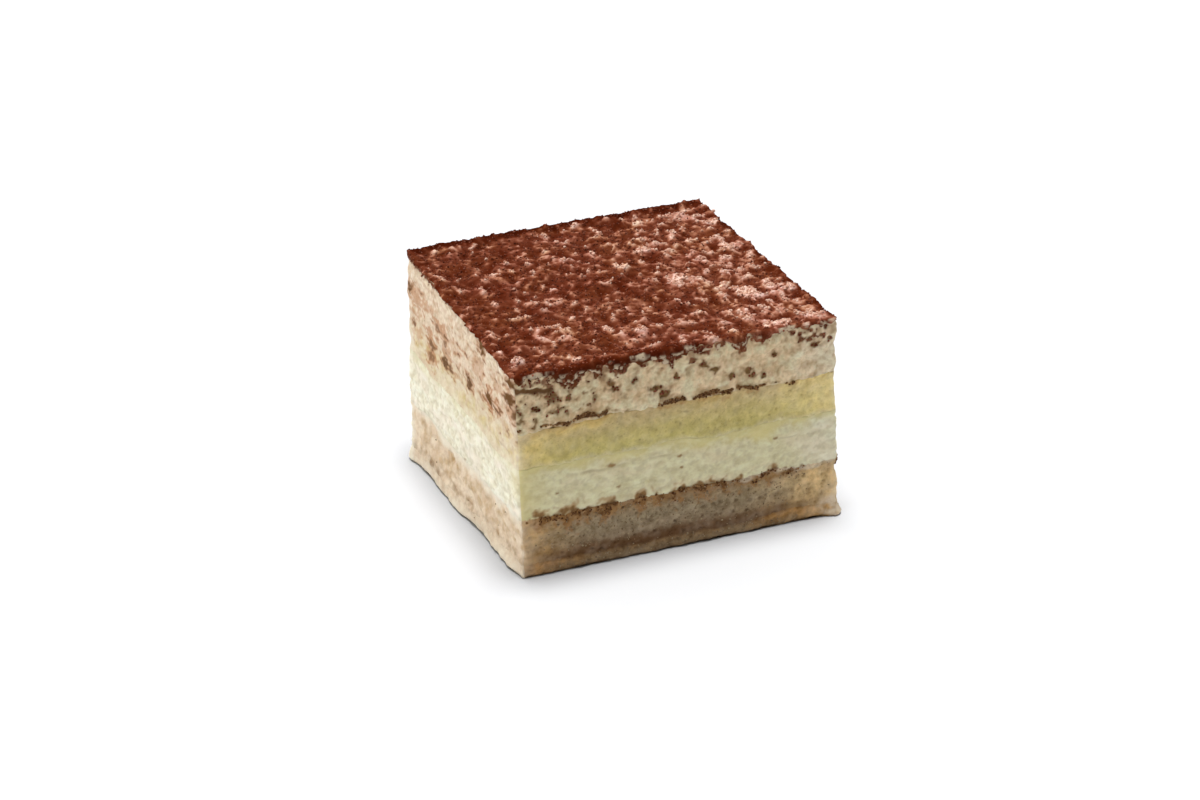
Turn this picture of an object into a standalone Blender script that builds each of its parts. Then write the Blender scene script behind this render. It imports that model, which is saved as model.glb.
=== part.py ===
"""A tiramisu mousse cake: one rectangular portion cut from a sheet, made layer by layer.

Metres, +Z up. The origin is under the middle of the cake, on the surface it stands on. The front
cut faces -Y and the left cut faces -X. Every layer runs right through the cake, so each one is a
slab that shares its outline and its wavy joints with the layers above and below it.
"""

from math import cos, pi

import bmesh
import bpy
from mathutils import Vector, noise

# Plan of the cut block, in metres. The knife leaned, so the top and the base don't quite match.
TOP_PLAN = {
    "front_left": Vector((-0.0360, -0.0314)),
    "front_right": Vector((0.0342, -0.0320)),
    "back_left": Vector((-0.0338, 0.0320)),
    "back_right": Vector((0.0340, 0.0319)),
}
BASE_PLAN = {
    "front_left": Vector((-0.0340, -0.0297)),
    "front_right": Vector((0.0362, -0.0315)),
    "back_left": Vector((-0.0355, 0.0294)),
    "back_right": Vector((0.0352, 0.0305)),
}
HALF_WIDTH = 0.0350  # the block's middle to its left or right cut
HALF_DEPTH = 0.0314  # the block's middle to its front or back cut
CORNER_RADIUS = 0.0011  # of the four upright edges

# Height of the whole block. The top isn't level: it rises towards the back and the left.
HEIGHT = 0.0463
RISE_TO_BACK = 0.0008
RISE_TO_LEFT = 0.0003

# Where each joint between two layers lies, as a share of the block's height, and how far it
# waves up and down where it shows at a cut.
JOINT_SHARES = (0.070, 0.298, 0.545, 0.733, 0.974)
JOINT_WAVES = (0.0006, 0.0008, 0.0011, 0.0010, 0.0)
JOINT_WAVELENGTHS = (0.0125, 0.0058)
JOINT_GAPS = (0.0003, 0.0003, 0.0003, 0.0003, 0.0004)  # between one layer's solid and the next

# The layers, from the base up.
LAYERS = (
    "base_sponge",
    "coffee_sponge",
    "cream_filling",
    "yellow_sponge",
    "top_cream",
    "cocoa_topping",
)

# The relief that the knife leaves on a cut: how far the crumb or the cream stands in and out, the
# size of its lumps, how much longer than high they are, and how far the layer stands proud.
CUT_RELIEF = {
    "base_sponge": (0.00034, 0.0042, 1.5, 0.0000),
    "coffee_sponge": (0.00042, 0.0046, 1.2, -0.0002),
    "cream_filling": (0.00030, 0.0065, 2.5, 0.0001),
    "yellow_sponge": (0.00038, 0.0046, 1.2, -0.0001),
    "top_cream": (0.00042, 0.0050, 1.3, 0.0001),
}
COCOA_SET_BACK = 0.0002  # the cocoa's edge follows the cream's, this far inside it
LUMP_SHARE = 1.2  # of a layer's relief depth
CRUMB_SHARE = 0.7
CRUMB_RATIO = 2.2  # a lump's size to a crumb's

# The foot of the left cut swells and narrows again, and the sponge spreads at the right corner.
FOOT_SWELL = 0.0004
FOOT_WAVELENGTH = 0.028
FOOT_CREST_Y = 0.0057
FOOT_HEIGHT = 0.0040
SPREAD_CORNER = Vector((0.0362, -0.0315))
SPREAD = 0.0011
SPREAD_REACH = 0.0060
FOOT_ROUNDING = 0.0006  # the base sponge's lower edge is drawn in by this much
LEFT_CUT = -0.99  # plan position u past which a point is on the left cut

# The upper edges are rounded: more on the front, where the cream was dragged down.
FRONT_EDGE_RADIUS = 0.0012
CUT_EDGE_RADIUS = 0.0006
EDGE_FALL = 0.75  # the cream's rounding falls this share of its radius

# The cocoa lies on the cream in clumps, and thins out towards its ragged edge.
COCOA_DEPTH = 0.0009
COCOA_EDGE_DEPTH = 0.0005
COCOA_EDGE_WIDTH = 0.0022
CLUMP_SIZES = (0.0062, 0.0034)
CLUMP_HEIGHTS = (0.0006, 0.0006)
COCOA_LEAST_DEPTH = 0.0004

# Where each piece of noise is read, so that no two patterns are alike.
JOINT_SEED, JOINT_SEED_STEP = 3.0, 7.0
CLUMP_SEED, CLUMP_SEED_STEP = 40.0, 5.0
CUT_SEED_STEP, CRUMB_SEED = 11.0, 50.0

# Mesh density: cells along x and y, and bands up each layer's cuts.
LAYER_CELLS = (28, 24)
COCOA_CELLS = (46, 40)
RIM_CROWDING = 1.35  # above 1, the cocoa's cells are narrower near its edge
BANDS = {
    "base_sponge": 3,
    "coffee_sponge": 5,
    "cream_filling": 5,
    "yellow_sponge": 4,
    "top_cream": 5,
    "cocoa_topping": 1,
}
FLAT_SIZE = 0.88  # the flat middle of a hidden face, as a share of the block's size
EDGE_RINGS = (0.990, 0.976, 0.956, FLAT_SIZE)  # rings of a rounded edge, the same way
SHARP_ANGLE = 0.8  # radians between two faces, past which their edge isn't shaded smooth

# Colour, as linear RGB, and roughness of each layer.
FINISHES = {
    "base_sponge": ((0.40, 0.26, 0.13), 0.85),
    "coffee_sponge": ((0.30, 0.19, 0.10), 0.90),
    "cream_filling": ((0.80, 0.74, 0.54), 0.45),
    "yellow_sponge": ((0.72, 0.55, 0.22), 0.85),
    "top_cream": ((0.79, 0.69, 0.52), 0.50),
    "cocoa_topping": ((0.19, 0.062, 0.032), 0.95),
}


def smooth_step(low, high, value):
    """0 below low, 1 above high, and a smooth rise between them."""
    share = min(max((value - low) / (high - low), 0.0), 1.0)
    return share * share * (3.0 - 2.0 * share)


def noise_at(x, y, z, size, seed):
    """Smooth noise from about -1 to 1 whose lumps are as large as size."""
    return noise.noise(Vector((x / size, y / size, z / size + seed)))


def rim_share(u, v):
    """0 well inside the block, and 1 on a cut face."""
    return smooth_step(FLAT_SIZE, 1.0, max(abs(u), abs(v)))


def block_height(u, v):
    """Height of the top of the block over plan position u, v, each from -1 to 1."""
    return HEIGHT + RISE_TO_BACK * v - RISE_TO_LEFT * u


def on_plan(u, v, share):
    """The point of the cut block at u, v in plan, at a share of its height."""
    corners = {
        name: BASE_PLAN[name].lerp(TOP_PLAN[name], share) for name in BASE_PLAN
    }
    front = corners["front_left"].lerp(corners["front_right"], (u + 1.0) / 2.0)
    back = corners["back_left"].lerp(corners["back_right"], (u + 1.0) / 2.0)
    return front.lerp(back, (v + 1.0) / 2.0)


def round_corner(u, v):
    """u, v moved in where the square outline has a rounded upright edge."""
    reach = Vector((CORNER_RADIUS / HALF_WIDTH, CORNER_RADIUS / HALF_DEPTH))
    inward = Vector((max(abs(u) - 1.0 + reach.x, 0.0), max(abs(v) - 1.0 + reach.y, 0.0)))
    if inward.x <= 0.0 or inward.y <= 0.0:
        return u, v
    metres = Vector((inward.x * HALF_WIDTH, inward.y * HALF_DEPTH))
    if metres.length <= CORNER_RADIUS:
        return u, v
    metres *= CORNER_RADIUS / metres.length
    u_sign, v_sign = (1.0 if u > 0.0 else -1.0), (1.0 if v > 0.0 else -1.0)
    return (
        u_sign * (1.0 - reach.x + metres.x / HALF_WIDTH),
        v_sign * (1.0 - reach.y + metres.y / HALF_DEPTH),
    )


def outward(u, v):
    """Plan direction out of the block at a point of its outline."""
    along = Vector((0.0, 0.0))
    if abs(u) >= abs(v) - 1e-4:
        along.x = 1.0 if u > 0.0 else -1.0
    if abs(v) >= abs(u) - 1e-4:
        along.y = 1.0 if v > 0.0 else -1.0
    return along.normalized()


def edge_drop(u, v):
    """How far the cream's top has curved down at u, v, from the rounding of its upper edges."""
    drop = 0.0
    for distance, radius in (
        ((v + 1.0) * HALF_DEPTH, FRONT_EDGE_RADIUS),
        ((1.0 - v) * HALF_DEPTH, CUT_EDGE_RADIUS),
        ((1.0 - abs(u)) * HALF_WIDTH, CUT_EDGE_RADIUS),
    ):
        if distance < radius:
            inside = radius - max(distance, 0.0)
            drop = max(drop, radius - (radius * radius - inside * inside) ** 0.5)
    return drop * EDGE_FALL


def joint_height(u, v, joint):
    """Height of the joint above layer number joint, over plan position u, v."""
    share = JOINT_SHARES[joint]
    x, y = on_plan(u, v, share)
    wave = 0.0
    for octave, size in enumerate(JOINT_WAVELENGTHS):
        seed = JOINT_SEED + JOINT_SEED_STEP * joint + octave
        wave += noise_at(x, y, 0.0, size, seed) / (1.0 + octave)
    height = share * block_height(u, v) + JOINT_WAVES[joint] * wave * rim_share(u, v)
    if joint == len(JOINT_SHARES) - 1:
        height -= edge_drop(u, v)
    return height


def cocoa_depth(u, v):
    """Depth of the cocoa over plan position u, v."""
    x, y = on_plan(u, v, 1.0)
    depth = COCOA_DEPTH
    for octave, (size, height) in enumerate(zip(CLUMP_SIZES, CLUMP_HEIGHTS)):
        depth += height * noise_at(x, y, 0.0, size, CLUMP_SEED + CLUMP_SEED_STEP * octave)
    to_edge = min((1.0 - abs(u)) * HALF_WIDTH, (1.0 - abs(v)) * HALF_DEPTH)
    edge = smooth_step(0.0, COCOA_EDGE_WIDTH, to_edge)
    return max(COCOA_EDGE_DEPTH + (depth - COCOA_EDGE_DEPTH) * edge, COCOA_LEAST_DEPTH)


def floor_of(layer, u, v):
    """Height of a layer's underside."""
    return joint_height(u, v, layer - 1) + JOINT_GAPS[layer - 1] / 2.0 if layer else 0.0


def roof_of(layer, u, v):
    """Height of a layer's upper side."""
    if layer < len(JOINT_SHARES):
        return joint_height(u, v, layer) - JOINT_GAPS[layer] / 2.0
    return floor_of(layer, u, v) + cocoa_depth(u, v)


def cut_relief(name, x, y, z):
    """How far a layer stands out of the plane of the cut at x, y, z."""
    if name == "cocoa_topping":
        return cut_relief("top_cream", x, y, z) - COCOA_SET_BACK
    depth, size, stretch, proud = CUT_RELIEF[name]
    seed = CUT_SEED_STEP * LAYERS.index(name)
    lumps = noise_at(x, y, z * stretch, size, seed)
    crumbs = noise_at(x, y, z * stretch, size / CRUMB_RATIO, seed + CRUMB_SEED)
    return proud + depth * (LUMP_SHARE * lumps + CRUMB_SHARE * crumbs)


def foot_relief(u, v, x, y, z):
    """How far the foot of the cake swells out, near the surface it stands on."""
    low = 1.0 - smooth_step(0.0, FOOT_HEIGHT, z)
    swell = 0.0
    if u < LEFT_CUT:
        wave = cos(2.0 * pi * (y - FOOT_CREST_Y) / FOOT_WAVELENGTH)
        swell = FOOT_SWELL * (1.0 + wave)
    to_corner = (Vector((x, y)) - SPREAD_CORNER).length
    return low * (swell + SPREAD * (1.0 - smooth_step(0.0, SPREAD_REACH, to_corner)))


def crowd_to_rim(value):
    """A grid line at value, from -1 to 1, moved nearer to the rim."""
    moved = 1.0 - (1.0 - min(abs(value), 1.0)) ** RIM_CROWDING
    return moved if value > 0.0 else -moved


def add_rings(cage, faces, sizes):
    """Rings of faces inside the outline of one side, each a smaller copy of that outline.

    The innermost is filled with a fan of triangles from its middle.
    """
    outer = 1.0
    for size in sizes:
        bmesh.ops.inset_region(cage, faces=faces, thickness=0.0)
        corners = {corner for face in faces for corner in face.verts}
        shrink = size / outer
        bmesh.ops.scale(cage, verts=list(corners), vec=(shrink, shrink, 1.0))
        outer = size
    bmesh.ops.poke(cage, faces=faces)


def slab_cage(cells, bands, cell_top, rounded_top, rounded_foot):
    """A closed unit slab from -1 to 1 in u and v, and 0 to 1 in height, as a bmesh.

    Its cuts have bands rows of faces. A cell_top keeps every cell of the grid on its upper side.
    Any other side is a flat middle inside one or more rings.
    """
    cage = bmesh.new()
    bmesh.ops.create_grid(cage, x_segments=cells[0], y_segments=cells[1], size=1.0)
    if cell_top:
        for corner in cage.verts:
            corner.co.x = crowd_to_rim(corner.co.x)
            corner.co.y = crowd_to_rim(corner.co.y)
    else:
        bmesh.ops.dissolve_faces(cage, faces=cage.faces[:], use_verts=False)
    top = cage.faces[:]
    bottom = None
    for band in range(bands):
        grown = bmesh.ops.extrude_face_region(cage, geom=top)
        if band == 0:
            bottom = top
        else:
            bmesh.ops.delete(cage, geom=top, context="FACES_ONLY")
        top = [item for item in grown["geom"] if isinstance(item, bmesh.types.BMFace)]
        corners = {corner for face in top for corner in face.verts}
        bmesh.ops.translate(cage, verts=list(corners), vec=(0.0, 0.0, 1.0 / bands))
    if cell_top:
        bottom = bmesh.ops.dissolve_faces(cage, faces=bottom, use_verts=False)["region"]
    bmesh.ops.recalc_face_normals(cage, faces=cage.faces[:])
    if not cell_top:
        add_rings(cage, top, EDGE_RINGS if rounded_top else (FLAT_SIZE,))
    add_rings(cage, bottom, EDGE_RINGS if rounded_foot else (FLAT_SIZE,))
    return cage


def place_corner(name, layer, corner):
    """The place in the cake of one corner of a layer's unit slab."""
    u, v, share = corner.co
    on_rim = max(abs(u), abs(v)) > 1.0 - 1e-5
    u, v = round_corner(u, v)
    low, high = floor_of(layer, u, v), roof_of(layer, u, v)
    z = low + (high - low) * share
    place = on_plan(u, v, min(z / HEIGHT, 1.0))
    if on_rim:
        x, y = place
        push = cut_relief(name, x, y, z) + foot_relief(u, v, x, y, z)
        if layer == 0 and share < 0.01:
            push -= FOOT_ROUNDING
        place = place + outward(corner.co.x, corner.co.y) * push
    return Vector((place.x, place.y, z))


def finish_of(name):
    """The material of one layer."""
    colour, roughness = FINISHES[name]
    material = bpy.data.materials.new(name)
    material.use_nodes = True
    shader = material.node_tree.nodes["Principled BSDF"]
    shader.inputs["Base Color"].default_value = (*colour, 1.0)
    shader.inputs["Roughness"].default_value = roughness
    shader.inputs["Metallic"].default_value = 0.0
    material.diffuse_color = (*colour, 1.0)
    return material


def make_layer(name, collection):
    """One layer of the cake as a named object."""
    layer = LAYERS.index(name)
    is_cocoa = name == "cocoa_topping"
    cage = slab_cage(
        COCOA_CELLS if is_cocoa else LAYER_CELLS,
        BANDS[name],
        cell_top=is_cocoa,
        rounded_top=name == "top_cream",
        rounded_foot=is_cocoa,
    )
    for corner in cage.verts:
        corner.co = place_corner(name, layer, corner)
    mesh = bpy.data.meshes.new(name)
    cage.to_mesh(mesh)
    cage.free()
    mesh.materials.append(finish_of(name))
    mesh.shade_smooth()
    mesh.set_sharp_from_angle(angle=SHARP_ANGLE)
    piece = bpy.data.objects.new(name, mesh)
    collection.objects.link(piece)
    return piece


def centre_on_origin(pieces):
    """Moves the meshes so that the middle of the whole cake's plan is at the origin."""
    corners = [corner.co for piece in pieces for corner in piece.data.vertices]
    middle = Vector((0.0, 0.0, 0.0))
    for axis in (0, 1):
        values = [corner[axis] for corner in corners]
        middle[axis] = (min(values) + max(values)) / 2.0
    for piece in pieces:
        for corner in piece.data.vertices:
            corner.co = corner.co - middle


def main():
    for old in list(bpy.data.objects):
        bpy.data.objects.remove(old)
    collection = bpy.data.collections.new("tiramisu_mousse_cake")
    bpy.context.scene.collection.children.link(collection)
    centre_on_origin([make_layer(name, collection) for name in LAYERS])


main()
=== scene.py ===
# Tiramisu mousse cake: the finished look of one cut portion, layer by layer.
from functools import lru_cache
from math import cos, exp, pi, radians, sin
from types import SimpleNamespace

import bmesh
import bpy
import numpy as np
from mathutils import Matrix, Vector, noise


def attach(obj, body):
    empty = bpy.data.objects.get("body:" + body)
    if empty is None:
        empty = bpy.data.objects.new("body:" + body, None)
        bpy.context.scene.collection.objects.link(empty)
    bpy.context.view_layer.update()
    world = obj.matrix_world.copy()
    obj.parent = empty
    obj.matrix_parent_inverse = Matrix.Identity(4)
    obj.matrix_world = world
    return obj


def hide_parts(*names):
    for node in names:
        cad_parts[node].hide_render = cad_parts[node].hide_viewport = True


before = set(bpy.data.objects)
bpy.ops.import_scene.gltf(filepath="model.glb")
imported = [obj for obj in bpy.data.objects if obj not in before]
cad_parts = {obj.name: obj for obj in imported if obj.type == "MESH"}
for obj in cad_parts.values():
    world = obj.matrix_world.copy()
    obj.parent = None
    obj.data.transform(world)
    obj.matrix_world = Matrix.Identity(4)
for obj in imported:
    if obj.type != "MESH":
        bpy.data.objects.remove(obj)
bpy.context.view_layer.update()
print("frame loaded:", ", ".join(sorted(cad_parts)))


# The cut block, in metres. The knife leaned, so its top and its base don't quite match.
block = {
    "topPlan": ((-0.0360, -0.0314), (0.0342, -0.0320), (-0.0338, 0.0320), (0.0340, 0.0319)),
    "basePlan": ((-0.0340, -0.0297), (0.0362, -0.0315), (-0.0355, 0.0294), (0.0352, 0.0305)),
    "middle": (0.000335, -0.000015),  # of its plan, which stands on the origin
    "halfWidth": 0.0350,
    "halfDepth": 0.0314,
    "cornerRadius": 0.0011,
    "height": 0.0463,
    "riseToBack": 0.0008,
    "riseToLeft": 0.0003,
    "joints": (0.070, 0.298, 0.545, 0.733, 0.974),  # shares of the height, from the base up
    "jointWaves": (0.0006, 0.0008, 0.0011, 0.0010, 0.0),
    "waveSizes": (0.0125, 0.0058),
    "jointRags": (0.00008, 0.00020, 0.00024, 0.00022, 0.0),  # torn crumb along each joint
    "ragSizes": (0.0015, 0.0006),
    "frontEdgeRadius": 0.0006,
    "cutEdgeRadius": 0.0004,
    "edgeFall": 0.75,
    "flatSize": 0.88,  # the hidden middle of a layer is flat
    "rimSize": 0.985,  # of the first ring inside its edge
    "lip": 0.0012,  # the cream comes up towards the cuts, where the cocoa is thin
    "lipWidth": 0.0035,
    "lap": 0.00012,  # a layer reaches this far into the one below it
}
halfWidth, halfDepth, tall = block["halfWidth"], block["halfDepth"], block["height"]
topJoint = len(block["joints"]) - 1
layerNames = ("baseSponge", "coffeeSponge", "creamFilling", "yellowSponge", "topCream", "cocoaTopping")

# The relief of each cut: depth, size of its lumps, stretch, and how far the layer stands proud.
cutRelief = {
    "baseSponge": (0.00034, 0.0042, 1.5, 0.0000),
    "coffeeSponge": (0.00042, 0.0046, 1.2, -0.0002),
    "creamFilling": (0.00030, 0.0065, 2.5, 0.0001),
    "yellowSponge": (0.00038, 0.0046, 1.2, -0.0001),
    "topCream": (0.00042, 0.0050, 1.3, 0.0001),
}
joined = {"width": 0.0016, "depth": 0.00030, "size": 0.0040}
foot = {
    "swell": 0.0004,
    "wavelength": 0.028,
    "crest": 0.0057,
    "leftCut": -0.99,  # the swell is where u is less than this
    "height": 0.0040,
    "corner": Vector((0.0362, -0.0315)),
    "spread": 0.0011,
    "reach": 0.0060,
    "rounding": 0.0006,
}


def smoothStep(low, high, value):
    share = min(max((value - low) / (high - low), 0.0), 1.0)
    return share * share * (3.0 - 2.0 * share)


def within(start, end, soft, place):  # 1 between start and end, which are soft
    return smoothStep(start - soft, start + soft, place) * smoothStep(end + soft, end - soft, place)


def bell(offset, width):
    return exp(-((offset / width) ** 2))


def streaks(at, length, width, seed):  # smooth noise from about -1 to 1, drawn out along the cuts
    x, y, z = at
    return noise.noise(Vector((x / length, y / length, z / width + seed)))


def lumps(at, size, seed):
    return streaks(at, size, size, seed)


def frayed(at, size, fine, share, seed):  # lumps with finer ones on them
    return lumps(at, size, seed) + share * lumps(at, fine, seed + 1.0)


def leaning(at, lean):  # the place, moved up or down as the knife's strokes lean
    return at[0], at[1], at[2] + lean[0] * at[0] + lean[1] * at[1]


def holes(at, size, reach, seed=0.0):
    # round holes of uneven size, 1 in their middles and 0 between them
    x, y, z = at
    distances, centres = noise.voronoi(Vector((x / size, y / size, z / size + seed)))
    uneven = 0.35 + 0.65 * abs(noise.cell(centres[0] * 7.3))
    return smoothStep(reach * uneven, 0.3 * reach * uneven, distances[0])


def onPlan(u, v, share):  # where the plan position u, v, each from -1 to 1, lies on the block
    place = []
    for axis in (0, 1):
        corners = [low[axis] + (high[axis] - low[axis]) * share
                   for low, high in zip(block["basePlan"], block["topPlan"])]
        front = corners[0] + (corners[1] - corners[0]) * (u + 1.0) / 2.0
        back = corners[2] + (corners[3] - corners[2]) * (u + 1.0) / 2.0
        place.append(front + (back - front) * (v + 1.0) / 2.0)
    return place


def edgeDrop(u, v):  # how far the cream's top has curved down towards its edges
    drop = 0.0
    for distance, radius in (
        ((v + 1.0) * halfDepth, block["frontEdgeRadius"]),
        ((1.0 - v) * halfDepth, block["cutEdgeRadius"]),
        ((1.0 - abs(u)) * halfWidth, block["cutEdgeRadius"]),
    ):
        if distance < radius:
            inside = radius - max(distance, 0.0)
            drop = max(drop, radius - (radius * radius - inside * inside) ** 0.5)
    return drop * block["edgeFall"]


def isCut(u, v):
    return max(abs(u), abs(v)) > 1.0 - 1e-6


def toCut(u, v):  # distance from the nearest cut
    return min((1.0 - abs(u)) * halfWidth, (1.0 - abs(v)) * halfDepth)


def sideOf(u, v):
    if abs(v) >= abs(u):
        return "front" if v < 0.0 else "back"
    return "left" if u < 0.0 else "right"


@lru_cache(maxsize=None)
def jointHeight(u, v, joint):
    share = block["joints"][joint]
    height = share * (tall + block["riseToBack"] * v - block["riseToLeft"] * u)
    rim = smoothStep(block["flatSize"], 1.0, max(abs(u), abs(v)))
    if rim > 0.0:
        flat = (*onPlan(u, v, share), 0.0)
        wave = 0.0
        for octave, size in enumerate(block["waveSizes"]):
            wave += lumps(flat, size, 3.0 + 7.0 * joint + octave) / (1.0 + octave)
        rag = frayed(flat, *block["ragSizes"], 0.7, 8.5 + joint)
        height += (block["jointWaves"][joint] * wave + block["jointRags"][joint] * rag) * rim
    if joint == topJoint:
        height += block["lip"] * smoothStep(block["lipWidth"], 0.0, toCut(u, v)) - edgeDrop(u, v)
    return height


def roundCorner(u, v):
    # u, v moved in to the rounded upright edge, and the direction out of the block there
    radius = block["cornerRadius"]
    reachU, reachV = radius / halfWidth, radius / halfDepth
    signU, signV = (1.0 if u > 0.0 else -1.0), (1.0 if v > 0.0 else -1.0)
    inward = Vector((
        max(abs(u) - 1.0 + reachU, 0.0) * halfWidth,
        max(abs(v) - 1.0 + reachV, 0.0) * halfDepth,
    ))
    if inward.x > 0.0 and inward.y > 0.0:
        if inward.length > radius:
            inward *= radius / inward.length
        moved = (
            signU * (1.0 - reachU + inward.x / halfWidth),
            signV * (1.0 - reachV + inward.y / halfDepth),
        )
        return moved, Vector((signU * inward.x, signV * inward.y)).normalized()
    if abs(u) >= abs(v):
        return (u, v), Vector((signU, 0.0))
    return (u, v), Vector((0.0, signV))


def layerRelief(name, at, toJoint):
    # the relief fades into one that all layers share where two of them meet
    depth, size, stretch, proud = cutRelief[name]
    seed = 11.0 * layerNames.index(name)
    drawn = (at[0], at[1], at[2] * stretch)
    own = proud + depth * (1.2 * lumps(drawn, size, seed) + 0.7 * lumps(drawn, size / 2.2, seed + 50.0))
    away = smoothStep(0.0, joined["width"], toJoint)
    return own * away + joined["depth"] * lumps(at, joined["size"], 5.0) * (1.0 - away)


def footRelief(u, at):
    if at[2] > foot["height"]:
        return 0.0
    swell = 0.0
    if u < foot["leftCut"]:
        swell = foot["swell"] * (1.0 + cos(2.0 * pi * (at[1] - foot["crest"]) / foot["wavelength"]))
    toCorner = (Vector(at[:2]) - foot["corner"]).length
    swell += foot["spread"] * (1.0 - smoothStep(0.0, foot["reach"], toCorner))
    return swell * (1.0 - smoothStep(0.0, foot["height"], at[2]))


# The mesh of a layer
def slabCage(spacing, bands, wholeTop):
    # a closed slab, -1 to 1 in u and v and 0 to 1 in height, with rows of fine cells on its cuts
    cage = bmesh.new()
    across, deep = (round(2.0 * half / spacing) for half in (halfWidth, halfDepth))
    bmesh.ops.create_grid(cage, x_segments=across, y_segments=deep, size=1.0)
    bmesh.ops.translate(cage, verts=cage.verts[:], vec=(0.0, 0.0, 1.0))
    rim = [edge for edge in cage.edges if edge.is_boundary]
    if not wholeTop:
        inner = [corner for corner in cage.verts if not corner.is_boundary]
        bmesh.ops.delete(cage, geom=inner, context="VERTS")
        rim = [edge for edge in rim if edge.is_valid]
    topRim = rim
    for band in range(bands):
        grown = bmesh.ops.extrude_edge_only(cage, edges=rim)["geom"]
        corners = [item for item in grown if isinstance(item, bmesh.types.BMVert)]
        bmesh.ops.translate(cage, verts=corners, vec=(0.0, 0.0, -1.0 / bands))
        added = set(corners)
        rim = [item for item in grown if isinstance(item, bmesh.types.BMEdge)
               and item.verts[0] in added and item.verts[1] in added]
    caps = bmesh.ops.contextual_create(cage, geom=rim)["faces"]
    if not wholeTop:
        caps += bmesh.ops.contextual_create(cage, geom=topRim)["faces"]
    for cap in caps:
        for size in (block["rimSize"], block["flatSize"] / block["rimSize"]):
            bmesh.ops.inset_region(cage, faces=[cap], thickness=0.0)
            bmesh.ops.scale(cage, verts=cap.verts[:], vec=(size, size, 1.0))
    bmesh.ops.poke(cage, faces=caps)
    bmesh.ops.recalc_face_normals(cage, faces=cage.faces[:])
    return cage


def addObject(name, data):
    made = bpy.data.objects.new(name, data)
    bpy.context.scene.collection.objects.link(made)
    return made


def finePiece(name, cage, placeCorner, paints):
    # places each corner of the unit slab in the cake, and keeps what is painted there
    painted = {paint: [] for paint in paints}
    for corner in cage.verts:
        place, values = placeCorner(*corner.co)
        corner.co = (place[0] - block["middle"][0], place[1] - block["middle"][1], place[2])
        for paint in paints:
            painted[paint].append(values.get(paint, 0.0))
    mesh = bpy.data.meshes.new(name)
    cage.to_mesh(mesh)
    cage.free()
    mesh.shade_smooth()
    for paint, values in painted.items():
        mesh.attributes.new(paint, "FLOAT", "POINT").data.foreach_set("value", values)
    return addObject(name, mesh)


def makeLayer(name, spacing, finishCut, paints):
    # finishCut gives the fine relief at a spot on the cut, and what is painted there
    layer = layerNames.index(name)
    height = (block["joints"][layer] - (block["joints"][layer - 1] if layer else 0.0)) * tall

    def placeCorner(u, v, share):
        onRim = isCut(u, v)
        (u, v), outward = roundCorner(u, v)
        low = jointHeight(u, v, layer - 1) - block["lap"] if layer else 0.0
        high = jointHeight(u, v, layer)
        z = low + (high - low) * share
        x, y = onPlan(u, v, min(z / tall, 1.0))
        at = (x, y, z)
        if not onRim:
            return at, {}
        spot = SimpleNamespace(
            x=x, y=y, z=z, at=at, flat=(x, y, 0.0), side=sideOf(u, v), share=share, low=low, high=high,
            toBed=z - low, toRoof=high - z, below=tall - z,
            fromLeft=(u + 1.0) * halfWidth, fromRight=(1.0 - u) * halfWidth,
            fromFront=(v + 1.0) * halfDepth, fromBack=(1.0 - v) * halfDepth, toBack=(v + 1.0) / 2.0,
        )
        push, values = finishCut(spot)
        push += layerRelief(name, at, min(spot.toBed if layer else high, spot.toRoof)) + footRelief(u, at)
        values["share"] = share
        return (x + outward.x * push, y + outward.y * push, z), values

    cage = slabCage(spacing, round(height / spacing), wholeTop=False)
    return finePiece(name, cage, placeCorner, ("share", *paints))


def dress(piece, node, finish):
    piece.data.materials.append(finish)
    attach(piece, "root")
    if node:
        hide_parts(node)
    print(f"{piece.name}: {len(piece.data.polygons)} faces")


# Small helpers for the finishes
def shaderOf(finish):
    return finish.node_tree.nodes["Principled BSDF"]


def newFinish(name, roughness, specular, glow=0.0, glowDepth=0.001):
    finish = bpy.data.materials.new(name)
    finish.use_nodes = True
    for socket, value in (
        ("Roughness", roughness), ("Specular IOR Level", specular), ("Subsurface Weight", glow),
        ("Subsurface Radius", (1.0, 0.75, 0.5)), ("Subsurface Scale", glowDepth),
    ):
        shaderOf(finish).inputs[socket].default_value = value
    return finish


def addNode(finish, kind, **settings):
    made = finish.node_tree.nodes.new(kind)
    for key, value in settings.items():
        setattr(made, key, value)
    return made


def feed(finish, value, target):  # a socket is linked, and a plain value is set
    if isinstance(value, bpy.types.NodeSocket):
        finish.node_tree.links.new(value, target)
    else:
        target.default_value = (*value, 1.0) if isinstance(value, tuple) else value


def grainOf(finish, size, detail=3.0, roughness=0.55, stretch=(1.0, 1.0, 1.0)):
    coords = addNode(finish, "ShaderNodeTexCoord")
    mapping = addNode(finish, "ShaderNodeMapping")
    mapping.inputs["Scale"].default_value = [1.0 / axis for axis in stretch]
    grain = addNode(finish, "ShaderNodeTexNoise")
    grain.inputs["Scale"].default_value = 1.0 / size
    grain.inputs["Detail"].default_value = detail
    grain.inputs["Roughness"].default_value = roughness
    feed(finish, coords.outputs["Object"], mapping.inputs["Vector"])
    feed(finish, mapping.outputs["Vector"], grain.inputs["Vector"])
    return grain.outputs[0]


def paintOf(finish, paint):
    return addNode(finish, "ShaderNodeAttribute", attribute_name=paint).outputs["Fac"]


def spread(finish, value, low, high):  # low to high, spread out to 0 to 1
    made = addNode(finish, "ShaderNodeMapRange")
    feed(finish, value, made.inputs["Value"])
    made.inputs["From Min"].default_value = low
    made.inputs["From Max"].default_value = high
    return made.outputs["Result"]


def patches(finish, size, low, high, detail=3.0, roughness=0.55, stretch=(1.0, 1.0, 1.0)):
    return spread(finish, grainOf(finish, size, detail, roughness, stretch), low, high)


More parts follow.
